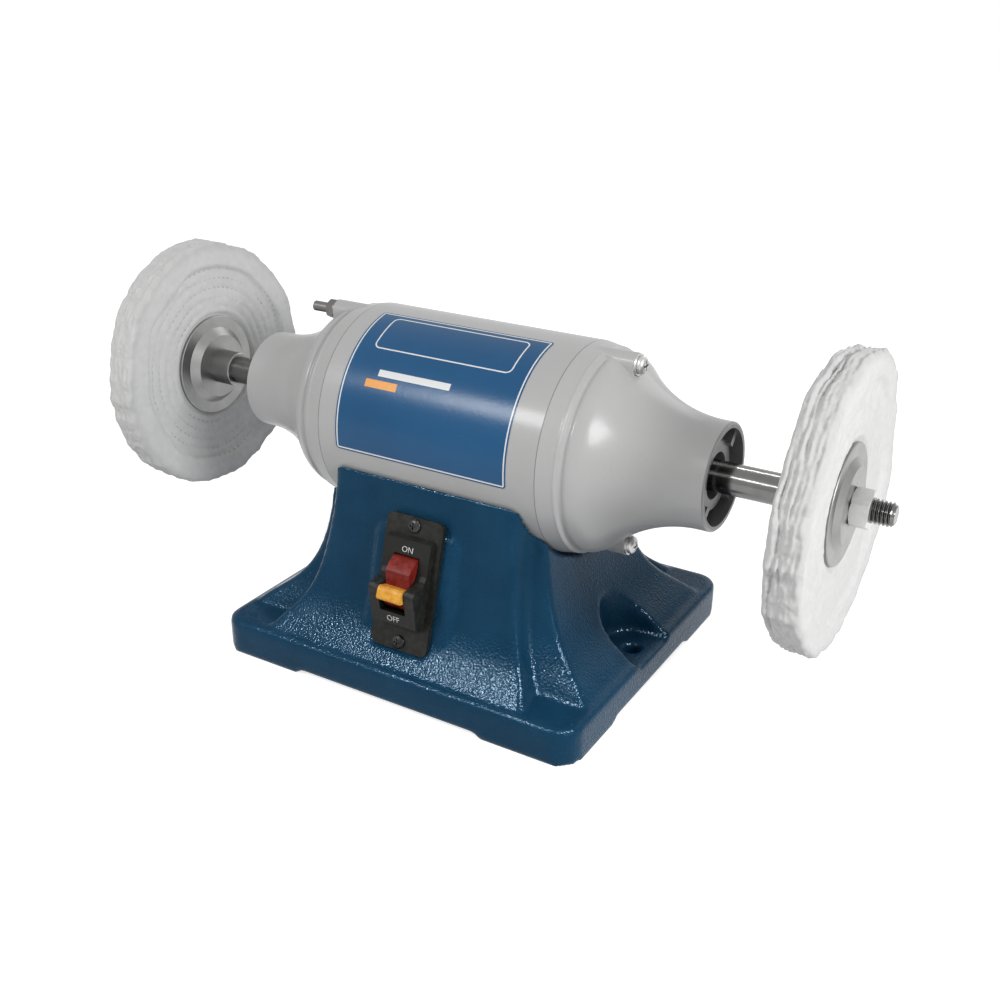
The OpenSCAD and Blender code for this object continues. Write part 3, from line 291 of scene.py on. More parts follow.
def turnedEffect():
    # turned steel: fine rings round the shaft axis, on ends as well as on sides
    mix = {"rings": (0.3, 0.7), "smudges": (0.35, 0.7)}
    tree, given, wanted = newGroup("turnedMarks", ("Rings", "Smudge"), ("Height", "Smudges", "Rings"))
    spot, radius = shaftPlace(tree, given["Vector"])
    rings = addNode(tree, "ShaderNodeTexNoise", noise_dimensions="1D")
    rings.inputs["Detail"].default_value = 3.0
    link(tree, plus(tree, spot["X"], radius), rings.inputs["W"])
    link(tree, given["Rings"], rings.inputs["Scale"])
    link(tree, rings.outputs["Fac"], wanted["Height"])
    link(tree, remap(tree, rings.outputs["Fac"], *mix["rings"]), wanted["Rings"])
    smudge = noiseOf(tree, given["Vector"], given["Smudge"], detail=4.0, rough=0.6)
    link(tree, remap(tree, smudge, *mix["smudges"]), wanted["Smudges"])
    return tree


def arrisEffect():
    # worn arrises: brighter where the surface turns sharply outwards
    mix = {"sharp": (0.0, 0.08), "patch": (0.4, 0.62)}
    tree, given, wanted = newGroup("arrisWear", ("Spread", "Patch"), ("Wear",))
    shape = addNode(tree, "ShaderNodeNewGeometry")
    sharp = remap(tree, minus(tree, shape.outputs["Pointiness"], given["Spread"]), *mix["sharp"])
    patch = remap(tree, noiseOf(tree, given["Vector"], given["Patch"], detail=4.0), *mix["patch"])
    link(tree, times(tree, sharp, patch), wanted["Wear"])
    return tree


def weaveEffect():
    # plain weave seen flat on, with slubs, which fades out towards the rim
    mix = {"flatOn": (0.071, 0.075, 1.0, 0.0), "cross": 0.06, "fluff": (0.3, 0.7)}
    tree, given, wanted = newGroup("cottonWeave", ("Threads", "Fluff"), ("Height", "Fluffiness"))
    spot, radius = shaftPlace(tree, given["Vector"])
    threads = [mathOf(tree, "SINE", times(tree, spot[side], given["Threads"])) for side in "YZ"]
    cross = times(tree, times(tree, *threads), remap(tree, radius, *mix["flatOn"]))
    slub = noiseOf(tree, given["Vector"], given["Fluff"], detail=5.0, rough=0.65)
    link(tree, plus(tree, times(tree, cross, mix["cross"]), slub), wanted["Height"])
    link(tree, remap(tree, slub, *mix["fluff"]), wanted["Fluffiness"])
    return tree


hammered = hammeredEffect()
paintSkin = paintEffect()
turned = turnedEffect()
arrisWear = arrisEffect()
weave = weaveEffect()
print("shader groups built")


# materials
def newFinish(name, settings):
    material = bpy.data.materials.new(name)
    material.use_nodes = True
    tree = material.node_tree
    shader = tree.nodes["Principled BSDF"]
    for socket, value in settings.items():
        shader.inputs[socket].default_value = (*value, 1.0) if isinstance(value, tuple) else value
    place = addNode(tree, "ShaderNodeTexCoord")
    return material, tree, shader, place.outputs


def useGroup(tree, group, vector, **values):
    node = addNode(tree, "ShaderNodeGroup")
    node.node_tree = group
    link(tree, vector, node.inputs["Vector"])
    for label, value in values.items():
        node.inputs[label].default_value = value
    return node.outputs


def addBump(tree, shader, height, distance, strength):
    node = addNode(tree, "ShaderNodeBump")
    node.inputs["Distance"].default_value = distance
    node.inputs["Strength"].default_value = strength
    link(tree, height, node.inputs["Height"])
    link(tree, node.outputs["Normal"], shader.inputs["Normal"])


def finishSurface(tree, shader, colour, roughBy, look, height):
    # colour, roughness between two values, and bump as (distance, strength)
    link(tree, colour, shader.inputs["Base Color"])
    link(tree, remap(tree, roughBy, 0.0, 1.0, *look["rough"]), shader.inputs["Roughness"])
    addBump(tree, shader, height, *look["bump"])


def enamelFinish():
    look = {
        "deep": (0.006, 0.041, 0.086), "light": (0.009, 0.051, 0.104), "bare": (0.30, 0.31, 0.32),
        "wear": 0.08, "rough": (0.12, 0.20), "bump": (0.00044, 0.6),
    }
    material, tree, shader, place = newFinish("blueEnamel", {
        "Specular IOR Level": 0.08, "Specular Tint": (0.55, 0.78, 1.0)})
    skin = useGroup(tree, hammered, place["Object"], Pebbles=860.0, Wander=45.0)
    wear = useGroup(tree, arrisWear, place["Object"], Spread=0.56, Patch=160.0)
    colour = mixColour(tree, skin["Shade"], look["deep"], look["light"])
    colour = mixColour(tree, times(tree, wear["Wear"], look["wear"]), colour, look["bare"])
    finishSurface(tree, shader, colour, skin["Shade"], look, skin["Height"])
    return material


def greyFinish():
    look = {
        "shade": (0.41, 0.41, 0.408), "light": (0.44, 0.44, 0.437), "speck": (0.25, 0.25, 0.25),
        # the dark grey here is for the seam line and for the painted shade inside the bell mouths
        "specks": 0.2, "bare": (0.08, 0.08, 0.08), "rough": (0.30, 0.40), "bump": (0.0003, 0.25),
        "seamAt": 0.0698, "seamEdge": (0.0001, 0.0004, 0.5, 0.0),
        "mouthAt": 0.1250, "mouthFade": 0.001, "mouthRadius": 0.0283, "mouthEdge": 0.0008, "mouthShade": 0.65,
    }
    material, tree, shader, place = newFinish("greySatin", {
        "Coat Weight": 0.25, "Coat Roughness": 0.18, "Specular IOR Level": 0.2})
    skin = useGroup(tree, paintSkin, place["Object"], Peel=380.0, Cloud=14.0)
    colour = mixColour(tree, skin["Cloudiness"], look["shade"], look["light"])
    colour = mixColour(tree, times(tree, skin["Specks"], look["specks"]), colour, look["speck"])
    # the joint between shell and bells gathers dirt, and the bell mouths get painted shade: darker paint
    # inside the recess
    spot, radius = shaftPlace(tree, place["Object"])
    along = mathOf(tree, "ABSOLUTE", spot["X"])
    seam = remap(tree, awayFrom(tree, along, look["seamAt"]), *look["seamEdge"])
    deepIn = remap(tree, along, look["mouthAt"], look["mouthAt"] + look["mouthFade"])
    within = remap(tree, radius, look["mouthRadius"] - look["mouthEdge"], look["mouthRadius"], 1.0, 0.0)
    mouth = times(tree, times(tree, deepIn, within), look["mouthShade"])
    # painted shade: inside the mouths the colour is darkened, as is the seam line
    colour = mixColour(tree, larger(tree, seam, mouth), colour, look["bare"])
    finishSurface(tree, shader, colour, skin["Cloudiness"], look, skin["Height"])
    return material


def metalFinish(name, dark, light, rough, rings, bump=0.0001, worn=0.4, threadFrom=None, dullFrom=None):
    look = {
        "wornTo": (0.85, 0.85, 0.84), "smudged": 0.6, "ringed": 0.4, "rough": rough, "bump": (bump, 0.3),
        "threadDark": (0.10, 0.10, 0.10), "threadDarkening": 0.35, "threadDarkRun": 0.001,
        "dull": (0.09, 0.085, 0.08), "dulled": 0.85, "dullRun": 0.01,
    }
    material, tree, shader, place = newFinish(name, {"Metallic": 1.0})
    marks = useGroup(tree, turned, place["Object"], Rings=rings, Smudge=70.0)
    wear = useGroup(tree, arrisWear, place["Object"], Spread=0.55, Patch=160.0)
    colour = mixColour(tree, marks["Smudges"], light, dark)
    colour = mixColour(tree, times(tree, wear["Wear"], worn), colour, look["wornTo"])
    if threadFrom:
        # the thread on both ends is darker
        spot = separate(tree, place["Object"])
        along = mathOf(tree, "ABSOLUTE", spot["X"])
        threadDarkening = remap(tree, along, threadFrom, threadFrom + look["threadDarkRun"], 0.0, look["threadDarkening"])
        colour = mixColour(tree, threadDarkening, colour, look["threadDark"])
    if dullFrom:
        # the bolt ends on the left are darker
        spot = separate(tree, place["Object"])
        dull = remap(tree, spot["X"], dullFrom, dullFrom + look["dullRun"], look["dulled"], 0.0)
        colour = mixColour(tree, dull, colour, look["dull"])
    smudged = times(tree, marks["Smudges"], look["smudged"])
    mottled = plus(tree, smudged, times(tree, marks["Rings"], look["ringed"]))
    finishSurface(tree, shader, colour, mottled, look, marks["Height"])
    return material


def mouldedFinish(name, dark, light, rough, grain=900.0, bump=0.5):
    look = {"worn": 0.4, "paler": (2.2, 0.03), "rough": rough, "bump": (0.0002, bump)}
    material, tree, shader, place = newFinish(name, {"Specular IOR Level": 0.18})
    skin = useGroup(tree, paintSkin, place["Object"], Peel=grain, Cloud=34.0)
    wear = useGroup(tree, arrisWear, place["Object"], Spread=0.56, Patch=300.0)
    colour = mixColour(tree, skin["Cloudiness"], dark, light)
    factor, offset = look["paler"]
    paler = tuple(min(1.0, factor * c + offset) for c in light)
    colour = mixColour(tree, times(tree, wear["Wear"], look["worn"]), colour, paler)
    finishSurface(tree, shader, colour, skin["Cloudiness"], look, skin["Height"])
    return material


# rows of stitches of the cloth wheels, for their finish and their shape
stitchRows = {"first": 0.038, "pitch": 0.006, "count": 5, "every": 0.0042}


def cottonFinish():
    look = {
        # the grey of the stitch holes is painted shade
        "hollow": (0.64, 0.64, 0.636), "crest": (0.70, 0.70, 0.696), "hole": (0.30, 0.30, 0.29),
        # the grey towards the rim is painted shade
        "holed": 0.5, "pulled": 0.5, "bump": (0.0009, 0.45), "rimShade": (0.10, 0.10, 0.10),
        "rimShadeBand": (0.0715, 0.0765, 0.0, 0.16),
        "rowEdge": (0.05, 0.10, 1.0, 0.0), "dashEdge": (0.20, 0.30, 1.0, 0.0),
        "sunkSize": 34.0, "sunk": (0.46, 0.62, 0.05, 0.9), "byWheel": (-0.1, 0.1, 1.0, 0.25),
    }
    rows = stitchRows
    material, tree, shader, place = newFinish("cottonCloth", {
        "Roughness": 0.92, "Sheen Weight": 0.25, "Sheen Roughness": 0.5, "Specular IOR Level": 0.2})
    cloth = useGroup(tree, weave, place["Object"], Threads=5200.0, Fluff=190.0)
    spot, radius = shaftPlace(tree, place["Object"])
    # rows of stitches round the axis
    row = mathOf(tree, "DIVIDE", minus(tree, radius, rows["first"] - rows["pitch"] / 2), rows["pitch"])
    onRow = remap(tree, awayFrom(tree, mathOf(tree, "FRACT", row), 0.5), *look["rowEdge"])
    rowRadius = plus(tree, times(tree, mathOf(tree, "FLOOR", row), rows["pitch"]), rows["first"])
    angle = mathOf(tree, "ARCTAN2", spot["Z"], spot["Y"])
    dash = mathOf(tree, "FRACT", mathOf(tree, "DIVIDE", times(tree, angle, rowRadius), rows["every"]))
    onDash = remap(tree, awayFrom(tree, dash, 0.5), *look["dashEdge"])
    past = mathOf(tree, "GREATER_THAN", row, 0.0)
    inside = times(tree, past, mathOf(tree, "LESS_THAN", row, float(rows["count"])))
    hole = times(tree, times(tree, onRow, onDash), inside)
    # the painted shade of the stitch holes fades out here and there, and more so on the right wheel
    shown = remap(tree, noiseOf(tree, place["Object"], look["sunkSize"], detail=2.0), *look["sunk"])
    shown = times(tree, shown, remap(tree, spot["X"], *look["byWheel"]))
    hole = times(tree, hole, shown)
    colour = mixColour(tree, cloth["Fluffiness"], look["hollow"], look["crest"])
    # painted shade: the cotton turns greyer towards the rim
    colour = mixColour(tree, remap(tree, radius, *look["rimShadeBand"]), colour, look["rimShade"])
    # painted shade: the stitch holes are darkened with grey
    colour = mixColour(tree, times(tree, hole, look["holed"]), colour, look["hole"])
    link(tree, colour, shader.inputs["Base Color"])
    addBump(tree, shader, minus(tree, cloth["Height"], times(tree, hole, look["pulled"])), *look["bump"])
    return material


def panelFinish():
    # at is in fractions of the panel from its lower left corner as it is read, the rest in metres
    look = {
        "blue": (0.010, 0.088, 0.215), "deepBlue": (0.008, 0.074, 0.185), "white": (0.74, 0.75, 0.75),
        "orange": (0.78, 0.32, 0.05), "rough": (0.20, 0.28), "bump": (0.0002, 0.2),
        "size": (0.1102, 0.0916), "line": 0.0007, "inset": 0.0012, "soft": 0.00012,
        "edge": {"at": (0.5, 0.5), "half": (0.0551, 0.0458), "corner": 0.002},
        "title": {"at": (0.501, 0.812), "half": (0.0437, 0.0124), "corner": 0.0034},
        "whiteBar": {"at": (0.410, 0.516), "half": (0.0231, 0.0019), "corner": 0.0002},
        "orangeBar": {"at": (0.234, 0.444), "half": (0.0103, 0.0022), "corner": 0.0002},
    }
    material, tree, shader, place = newFinish("panelPrint", {"Specular IOR Level": 0.25})
    printed = separate(tree, place["UV"])
    spots = [times(tree, printed[side], whole) for side, whole in zip("XY", look["size"])]

    def distanceFrom(form):
        # signed distance from a rounded rectangle
        gaps = []
        for spot, at, whole, half in zip(spots, form["at"], look["size"], form["half"]):
            gaps.append(minus(tree, awayFrom(tree, spot, whole * at), half - form["corner"]))
        beyond = [larger(tree, gap, 0.0) for gap in gaps]
        outer = diagonal(tree, *[times(tree, gap, gap) for gap in beyond])
        inner = mathOf(tree, "MINIMUM", larger(tree, *gaps), 0.0)
        return minus(tree, plus(tree, outer, inner), form["corner"])

    def keyline(form, inset):
        band = mathOf(tree, "ABSOLUTE", plus(tree, distanceFrom(form), inset))
        half = look["line"] / 2
        return remap(tree, band, half, half + look["soft"], 1.0, 0.0)

    def filled(form):
        return remap(tree, distanceFrom(form), 0.0, look["soft"], 1.0, 0.0)

    marks = larger(tree, keyline(look["edge"], look["inset"]), keyline(look["title"], 0.0))
    marks = larger(tree, marks, filled(look["whiteBar"]))
    skin = useGroup(tree, paintSkin, place["Object"], Peel=500.0, Cloud=22.0)
    colour = mixColour(tree, skin["Cloudiness"], look["deepBlue"], look["blue"])
    colour = mixColour(tree, marks, colour, look["white"])
    colour = mixColour(tree, filled(look["orangeBar"]), colour, look["orange"])
    finishSurface(tree, shader, colour, skin["Cloudiness"], look, skin["Height"])
    return material


metals = {
    # slot, or flange and bolt: (name, dark, light, roughness, rings), then what differs from the usual
    "zinc": (("zincPlate", (0.52, 0.52, 0.515), (0.64, 0.64, 0.635), (0.34, 0.46), 1800.0),
             {"bump": 0.00006}),
    "shaft_steel": (("groundSteel", (0.15, 0.15, 0.147), (0.19, 0.19, 0.187), (0.14, 0.18), 3000.0),
                    {"bump": 0.00001, "worn": 0.1, "threadFrom": 0.2250}),
    "bearing_steel": (("bearingSteel", (0.5, 0.5, 0.5), (0.62, 0.62, 0.62), (0.12, 0.2), 4000.0), {}),
    "core_steel": (("coreSteel", (0.18, 0.17, 0.17), (0.28, 0.27, 0.26), (0.4, 0.55), 1600.0),
                   {"bump": 0.0003}),
    "cage_aluminium": (("castAluminium", (0.55, 0.55, 0.55), (0.68, 0.68, 0.68), (0.35, 0.5), 900.0), {}),
    "copper": (("enamelledCopper", (0.35, 0.12, 0.05), (0.60, 0.24, 0.11), (0.25, 0.4), 2600.0),
               {"bump": 0.0004}),
    "black_screw": (("blackenedSteel", (0.02, 0.02, 0.02), (0.06, 0.06, 0.06), (0.25, 0.4), 1500.0), {}),
    "flange": (("flangeSteel", (0.24, 0.24, 0.237), (0.29, 0.29, 0.287), (0.32, 0.38), 2000.0),
               {"bump": 0.00002, "worn": 0.2}),
    "bolt": (("boltSteel", (0.46, 0.46, 0.455), (0.58, 0.58, 0.575), (0.36, 0.48), 1200.0),
             {"bump": 0.0002, "worn": 0.1, "dullFrom": -0.07}),
}
mouldings = {
    # slot, or lettering: name, dark, light, roughness, then grain and its strength where they differ
    "cover_steel": ("coverPaint", (0.010, 0.045, 0.105), (0.014, 0.060, 0.135), (0.32, 0.42), 500.0),
    "black_plastic": ("blackPlastic", (0.010, 0.011, 0.009), (0.015, 0.016, 0.014), (0.38, 0.48)),
    "toggle_red": ("toggleRed", (0.145, 0.010, 0.006), (0.160, 0.012, 0.008), (0.36, 0.42), 700.0, 0.15),
    "key_orange": ("keyOrange", (0.66, 0.27, 0.030), (0.70, 0.29, 0.035), (0.34, 0.40), 700.0, 0.15),
    "rubber": ("blackRubber", (0.014, 0.014, 0.014), (0.022, 0.022, 0.022), (0.6, 0.75)),
    "wire_insulation": ("wireSleeve", (0.12, 0.12, 0.13), (0.18, 0.18, 0.19), (0.4, 0.5)),
    "lettering": ("letterPaint", (0.55, 0.55, 0.54), (0.62, 0.62, 0.61), (0.5, 0.6), 800.0, 0.2),
}
finishes = {
    "blue_casting": enamelFinish(),
    "grey_paint": greyFinish(),
    "cotton": cottonFinish(),
    "panel": panelFinish(),
}
for slot, (values, unusual) in metals.items():
    finishes[slot] = metalFinish(*values, **unusual)
for slot, values in mouldings.items():
    finishes[slot] = mouldedFinish(*values)

# nodes whose finish is not the usual one of their slot
special = {
    "left_inner_flange": "flange", "right_inner_flange": "flange",
    "left_outer_flange": "flange", "right_outer_flange": "flange",
    "tie_bolts": "bolt", "tie_nuts": "bolt", "tie_washers": "bolt",
}


def dress(piece, finish):
    piece.data.materials.clear()
    piece.data.materials.append(finishes[finish])


for part in frame["record"]["subparts"]:
    dress(nodes[part["node"]], special.get(part["node"], part["material_slot"]))


# cast base
castBase = {"voxel": 0.0017, "smooth": 0.5, "softness": 4, "crease": 60}


def buildCastBase():
    size = castBase
    piece = mergedCopy("base_casting", "castBase")
    modify(piece, "REMESH", mode="VOXEL", voxel_size=size["voxel"], adaptivity=0.0)
    modify(piece, "SMOOTH", factor=size["smooth"], iterations=size["softness"])
    smoothByAngle(piece, size["crease"])
    dress(piece, "blue_casting")
    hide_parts("base_casting")
    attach(piece, "stand")
    print("cast base", len(piece.data.polygons), "faces")


buildCastBase()

# end bells with a rolled lip edge and a soft groove beyond it
bellEdge = {
    "from": 0.0785, "to": 0.0865, "rings": 20, "slack": 0.0001, "fade": 0.001, "outside": 0.0545,
    "bead": 0.00022, "beadAt": 0.0798, "beadRun": 0.0007,
    "groove": 0.0009, "grooveAt": 0.0829, "grooveRun": 0.0015,
    "bossHalf": 0.0068, "bossFade": 0.002, "crease": 30,
}


def buildBell(side, nodeName, name):
    size = bellEdge
    piece = mergedCopy(nodeName, name)
    first = size["from"]
    last = size["to"]
    editAll(piece)
    for k in range(size["rings"] + 1):
        cut((side * (first + (last - first) * k / size["rings"]), 0, 0), (1, 0, 0))
    leaveEdit()
    for vertex in piece.data.vertices:
        x, y, z = vertex.co
        radius = math.hypot(y, z - axisHeight)
        along = abs(x)
        if radius < size["outside"] or along < first - size["slack"] or along > last + size["slack"]:
            continue
        bead = hump((along - size["beadAt"]) / size["beadRun"])
        groove = hump((along - size["grooveAt"]) / size["grooveRun"])
        change = size["bead"] * bead - size["groove"] * groove
        change *= smoothStep(along, first, first + size["fade"])
        change *= 1 - smoothStep(along, last - size["fade"], last)
        change *= smoothStep(abs(y), size["bossHalf"], size["bossHalf"] + size["bossFade"])
        grow = 1 + change / radius
        vertex.co = (x, y * grow, axisHeight + (z - axisHeight) * grow)
    smoothByAngle(piece, size["crease"])
    dress(piece, "grey_paint")
    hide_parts(nodeName)
    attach(piece, "stand")
    print(name, len(piece.data.polygons), "faces")


buildBell(-1, "left_end_bell", "leftBell")
buildBell(1, "right_end_bell", "rightBell")

# cotton wheels
clothWheel = {
    "bore": 0.0067, "middle": 0.20745, "hubHalf": 0.0046, "puffHalf": 0.0066, "edgeHalf": 0.0092,
    "flange": 0.0318, "clear": 0.0004, "free": 0.004, "radius": 0.0778, "corner": 0.0026,
    "slack": 0.0001, "touch": 0.00001,
    "around": 560, "hubMiddle": 0.020, "faceFrom": 0.0010, "faceSteps": 46, "cornerSteps": 5, "rimSteps": 26,
    "rollFrom": 0.0605, "rollWander": 0.0040, "rollRun": 0.0036, "valley": 0.0023, "valleyWidth": 0.00060,
    "groove": 0.0006, "grooveWidth": 0.0007, "dip": 0.0004, "dipRun": 8, "tight": (-0.45, 0.25),
    "sway": 0.0026, "wave": 0.0019, "waveLevel": 0.15, "rag": 0.0010, "fray": 0.0005,
    "facePuff": 0.0007, "faceFine": 0.0003, "rimPuff": 0.0008, "weldWithin": 0.000002, "crease": 80,
}
clothMood = {
    # folds, rows, wave and rag are multiples of the wheel's valley, groove, wave and rag
    "right": {"side": 1, "seed": 40, "curl": 0.001, "folds": 0.8, "rows": 0.35, "wave": 1.0, "rag": 1.0},
    "left": {"side": -1, "seed": 150, "curl": 0.005, "folds": 0.15, "rows": 0.8, "wave": 0.64, "rag": 0.4},
}
# layers of noise round the wheel, each with its fineness and its weight
turnNoise = {
    "sway": ((1.3, 0.8), (4, 0.5)), "wave": ((4.5, 1.0), (11, 0.9)), "roll": ((1.8, 1.0),),
    "rows": ((2.6, 1.0),), "ply": ((1.7, 0.0026), (8, 0.0009)), "open": ((2.1, 1.0),),
}
# fineness of noise in the plane of the wheel and across it, in steps a metre
spotNoise = {"puff": (70, 0), "fine": (260, 260), "crease": (80, 480), "fray": (420, 420)}
plyValley = {
    "plies": 6, "spacing": 1.05, "first": 0.92, "gain": 1.5, "open": 0.30, "step": 3.1,
    "floor": 0.6, "banks": 0.4, "bankRun": 6,
}
looseThread = {
    "count": 110, "step": 7.3, "shift": 0.8, "across": 1.2, "short": 0.0012, "spread": 0.0022, "lean": 1.6,
    "sunk": 0.0022, "rooted": 0.0018, "bow": 0.25, "sweep": 1.5, "sideways": 0.0010, "points": 4,
    "half": 0.00011,
}


def wheelOutline():
    # section of the cloth from the bore over the outer face, round the corner, across the rim and back
    size = clothWheel
    face = [(size[r], size["hubHalf"]) for r in ("bore", "hubMiddle", "flange")]
    start = size["flange"] + size["faceFrom"]
    end = size["radius"] - size["corner"]
    steps = size["faceSteps"]
    face += [(start + (end - start) * k / steps, size["puffHalf"]) for k in range(steps + 1)]
    half = size["edgeHalf"] - size["corner"]
    corner = []
    for k in range(1, size["cornerSteps"]):
        a = math.radians(90 * k / size["cornerSteps"])
        corner.append((end + size["corner"] * math.sin(a), half + size["corner"] * math.cos(a)))
    across = size["rimSteps"]
    rim = [(size["radius"], half * (1 - 2 * k / across)) for k in range(across + 1)]
    return face + corner + rim + [(r, -x) for r, x in reversed(face + corner)]


def buildWheel(hand):
    size = clothWheel
    mood = clothMood[hand]
    name = hand + "ClothWheel"
    outline = wheelOutline()
    piece = linePiece(name, [(x, 0, r) for r, x in outline], chain(0, len(outline)))
    editAll(piece)
    bpy.ops.mesh.spin(steps=size["around"], angle=fullTurn, center=(0, 0, 0), axis=(1, 0, 0))
    bpy.ops.mesh.select_all(action="SELECT")
    bpy.ops.mesh.remove_doubles(threshold=size["weldWithin"])
    leaveEdit()
    pushCloth(piece, mood)
    editAll(piece)
    bpy.ops.mesh.select_non_manifold(extend=False)   # the open ends of the bore
    bpy.ops.mesh.bridge_edge_loops()
    bpy.ops.mesh.select_all(action="SELECT")
    bpy.ops.mesh.normals_make_consistent(inside=False)
    leaveEdit()
    smoothByAngle(piece, size["crease"])
    strands = looseStrands(mood["side"], mood["seed"])
    pickOnly(piece)
    strands.select_set(True)
    bpy.ops.object.join()
    dress(piece, "cotton")
    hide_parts(hand + "_buffing_wheel")
    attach(piece, "rotor")
    print(name, len(piece.data.polygons), "faces")


def byTurn(kind, turn, lift):
    around = Vector((math.cos(turn), math.sin(turn), 0))
    return sum(weight * noise.noise(around * fineness + lift) for fineness, weight in turnNoise[kind])


def bySpot(kind, x, y, z, shift):
    flat, across = spotNoise[kind]
    return noise.noise(Vector((y * flat, z * flat, x * across + shift)))


def plyValleys(turn, seed):
    # where each valley between two plies lies across the rim, and how open it is there
    ply = plyValley
    valleys = []
    for k in range(1, ply["plies"]):
        lift = Vector((0, 0, seed + ply["step"] * k))
        place = clothWheel["edgeHalf"] * (ply["spacing"] * k / ply["plies"] - ply["first"])
        place += byTurn("ply", turn, lift)
        gap = byTurn("open", turn, lift * 2) * ply["gain"] + ply["open"]
        valleys.append((place, clamp(gap)))
    return valleys


def turnShape(turn, mood):
    # what changes only with the turn: sideways sway, wave of the rim, start of the roll, valleys
    size = clothWheel
    lift = Vector((0, 0, mood["seed"]))
    sway = size["sway"] * byTurn("sway", turn, lift)
    sway += mood["curl"] * max(0.0, math.sin(turn)) ** 2
    wave = mood["wave"] * size["wave"] * (byTurn("wave", turn, -lift) - size["waveLevel"])
    roll = size["rollFrom"] + size["rollWander"] * byTurn("roll", turn, lift * 3)
    return sway, wave, roll, plyValleys(turn, mood["seed"])


def faceRise(radius):
    return smoothStep(radius, clothWheel["flange"], clothWheel["flange"] + clothWheel["free"])


def faceHeight(radius, turn, roll, mood):
    # the stitched face: drawn in along each row of stitches, then the thick loose roll
    size = clothWheel
    rows = stitchRows
    lift = Vector((0, 0, mood["seed"]))
    high = size["hubHalf"] + (size["puffHalf"] - size["hubHalf"]) * faceRise(radius)
    high += (size["edgeHalf"] - size["puffHalf"]) * smoothStep(radius, roll, roll + size["rollRun"])
    for k in range(rows["count"]):
        off = (radius - rows["first"] - k * rows["pitch"]) / size["grooveWidth"]
        depth = mood["rows"] * smoothStep(byTurn("rows", turn, lift * (k + 2)), *size["tight"])
        high -= depth * (size["groove"] * hump(off) + size["dip"] * hump(off, size["dipRun"]))
    return high


def pushCloth(piece, mood):
    size = clothWheel
    ply = plyValley
    seed = mood["seed"]
    free = size["flange"] + size["free"]
    faceHalf = size["puffHalf"] - size["touch"]
    faceEnd = size["radius"] - size["corner"] + size["slack"]
    shapes = {}
    for vertex in piece.data.vertices:
        x, y, z = vertex.co
        radius = math.hypot(y, z)
        turn = math.atan2(z, y)
        if radius > size["flange"] + size["clear"]:
            step = round(turn / fullTurn * size["around"])
            if step not in shapes:
                shapes[step] = turnShape(turn, mood)
            sway, wave, roll, valleys = shapes[step]
            face = math.copysign(1.0, x)
            loose = max(0.0, (radius - free) / (size["radius"] - free)) ** 2
            rim = smoothStep(radius, size["radius"] - 2.0 * size["corner"], size["radius"])
            puff = bySpot("puff", x, y, z, seed + 4 * face)
            fine = bySpot("fine", x, y, z, seed)
            crease = bySpot("crease", x, y, z, seed)
            fray = bySpot("fray", x, y, z, seed)
            if abs(x) > faceHalf and radius < faceEnd:
                uneven = (size["facePuff"] * puff + size["faceFine"] * fine) * faceRise(radius)
                x = face * (faceHeight(radius, turn, roll, mood) + uneven)
            drop = 0.0
            for place, gap in valleys:
                off = (x - place) / size["valleyWidth"]
                drop += gap * (ply["floor"] * hump(off) + ply["banks"] * hump(off, ply["bankRun"]))
            out = radius + wave * loose - size["valley"] * mood["folds"] * min(1.0, drop) * rim
            out += (size["rag"] * crease * mood["rag"] + size["fray"] * fray) * rim
            x += sway * loose + size["rimPuff"] * puff * rim
            y = out * math.cos(turn)
            z = out * math.sin(turn)
        vertex.co = (mood["side"] * (size["middle"] + x), y, axisHeight + z)


def looseStrands(side, seed):
    # short threads that have come free along the rim
    size = clothWheel
    thread = looseThread
    points = []
    edges = []
    for k in range(thread["count"]):
        lift = Vector((k * thread["step"], seed, 0.5))
        turn = fullTurn * (k + thread["shift"] * noise.noise(lift)) / thread["count"]
        across = size["edgeHalf"] * thread["across"] * noise.noise(lift * 1.7)
        length = thread["short"] + thread["spread"] * abs(noise.noise(lift * 2.3))
        lean = thread["lean"] * noise.noise(lift * 3.1)
        edges += chain(len(points), thread["points"])
        for j in range(thread["points"]):
            t = j / (thread["points"] - 1)
            radius = size["radius"] - thread["sunk"]
            radius += (thread["rooted"] + length) * (t - thread["bow"] * t * t)
            a = turn + lean * length / size["radius"] * t * t * thread["sweep"]
            x = side * (size["middle"] + across + thread["sideways"] * lean * t * t)
            points.append((x, radius * math.cos(a), axisHeight + radius * math.sin(a)))
    pickOnly(linePiece("strands", points, edges))
    bpy.ops.object.convert(target="CURVE")
    curve = bpy.context.object.data
    curve.bevel_depth = thread["half"]
    curve.bevel_resolution = 0
    curve.use_fill_caps = True
    bpy.ops.object.convert(target="MESH")
    piece = bpy.context.object
    piece.data.materials.clear()
    return piece


for hand in clothMood:
    buildWheel(hand)

# threaded shaft
shaftThread = {
    "pitch": 0.00195, "major": 0.00633, "minor": 0.0053, "from": 0.2262, "tip": 0.238, "steps": 40,
    "flanks": (0.10, 0.44, 0.66), "spare": 3, "early": 1.5, "point": 0.0048, "chamfer": 0.9,
    "overlap": 0.0002, "crease": 30,
}


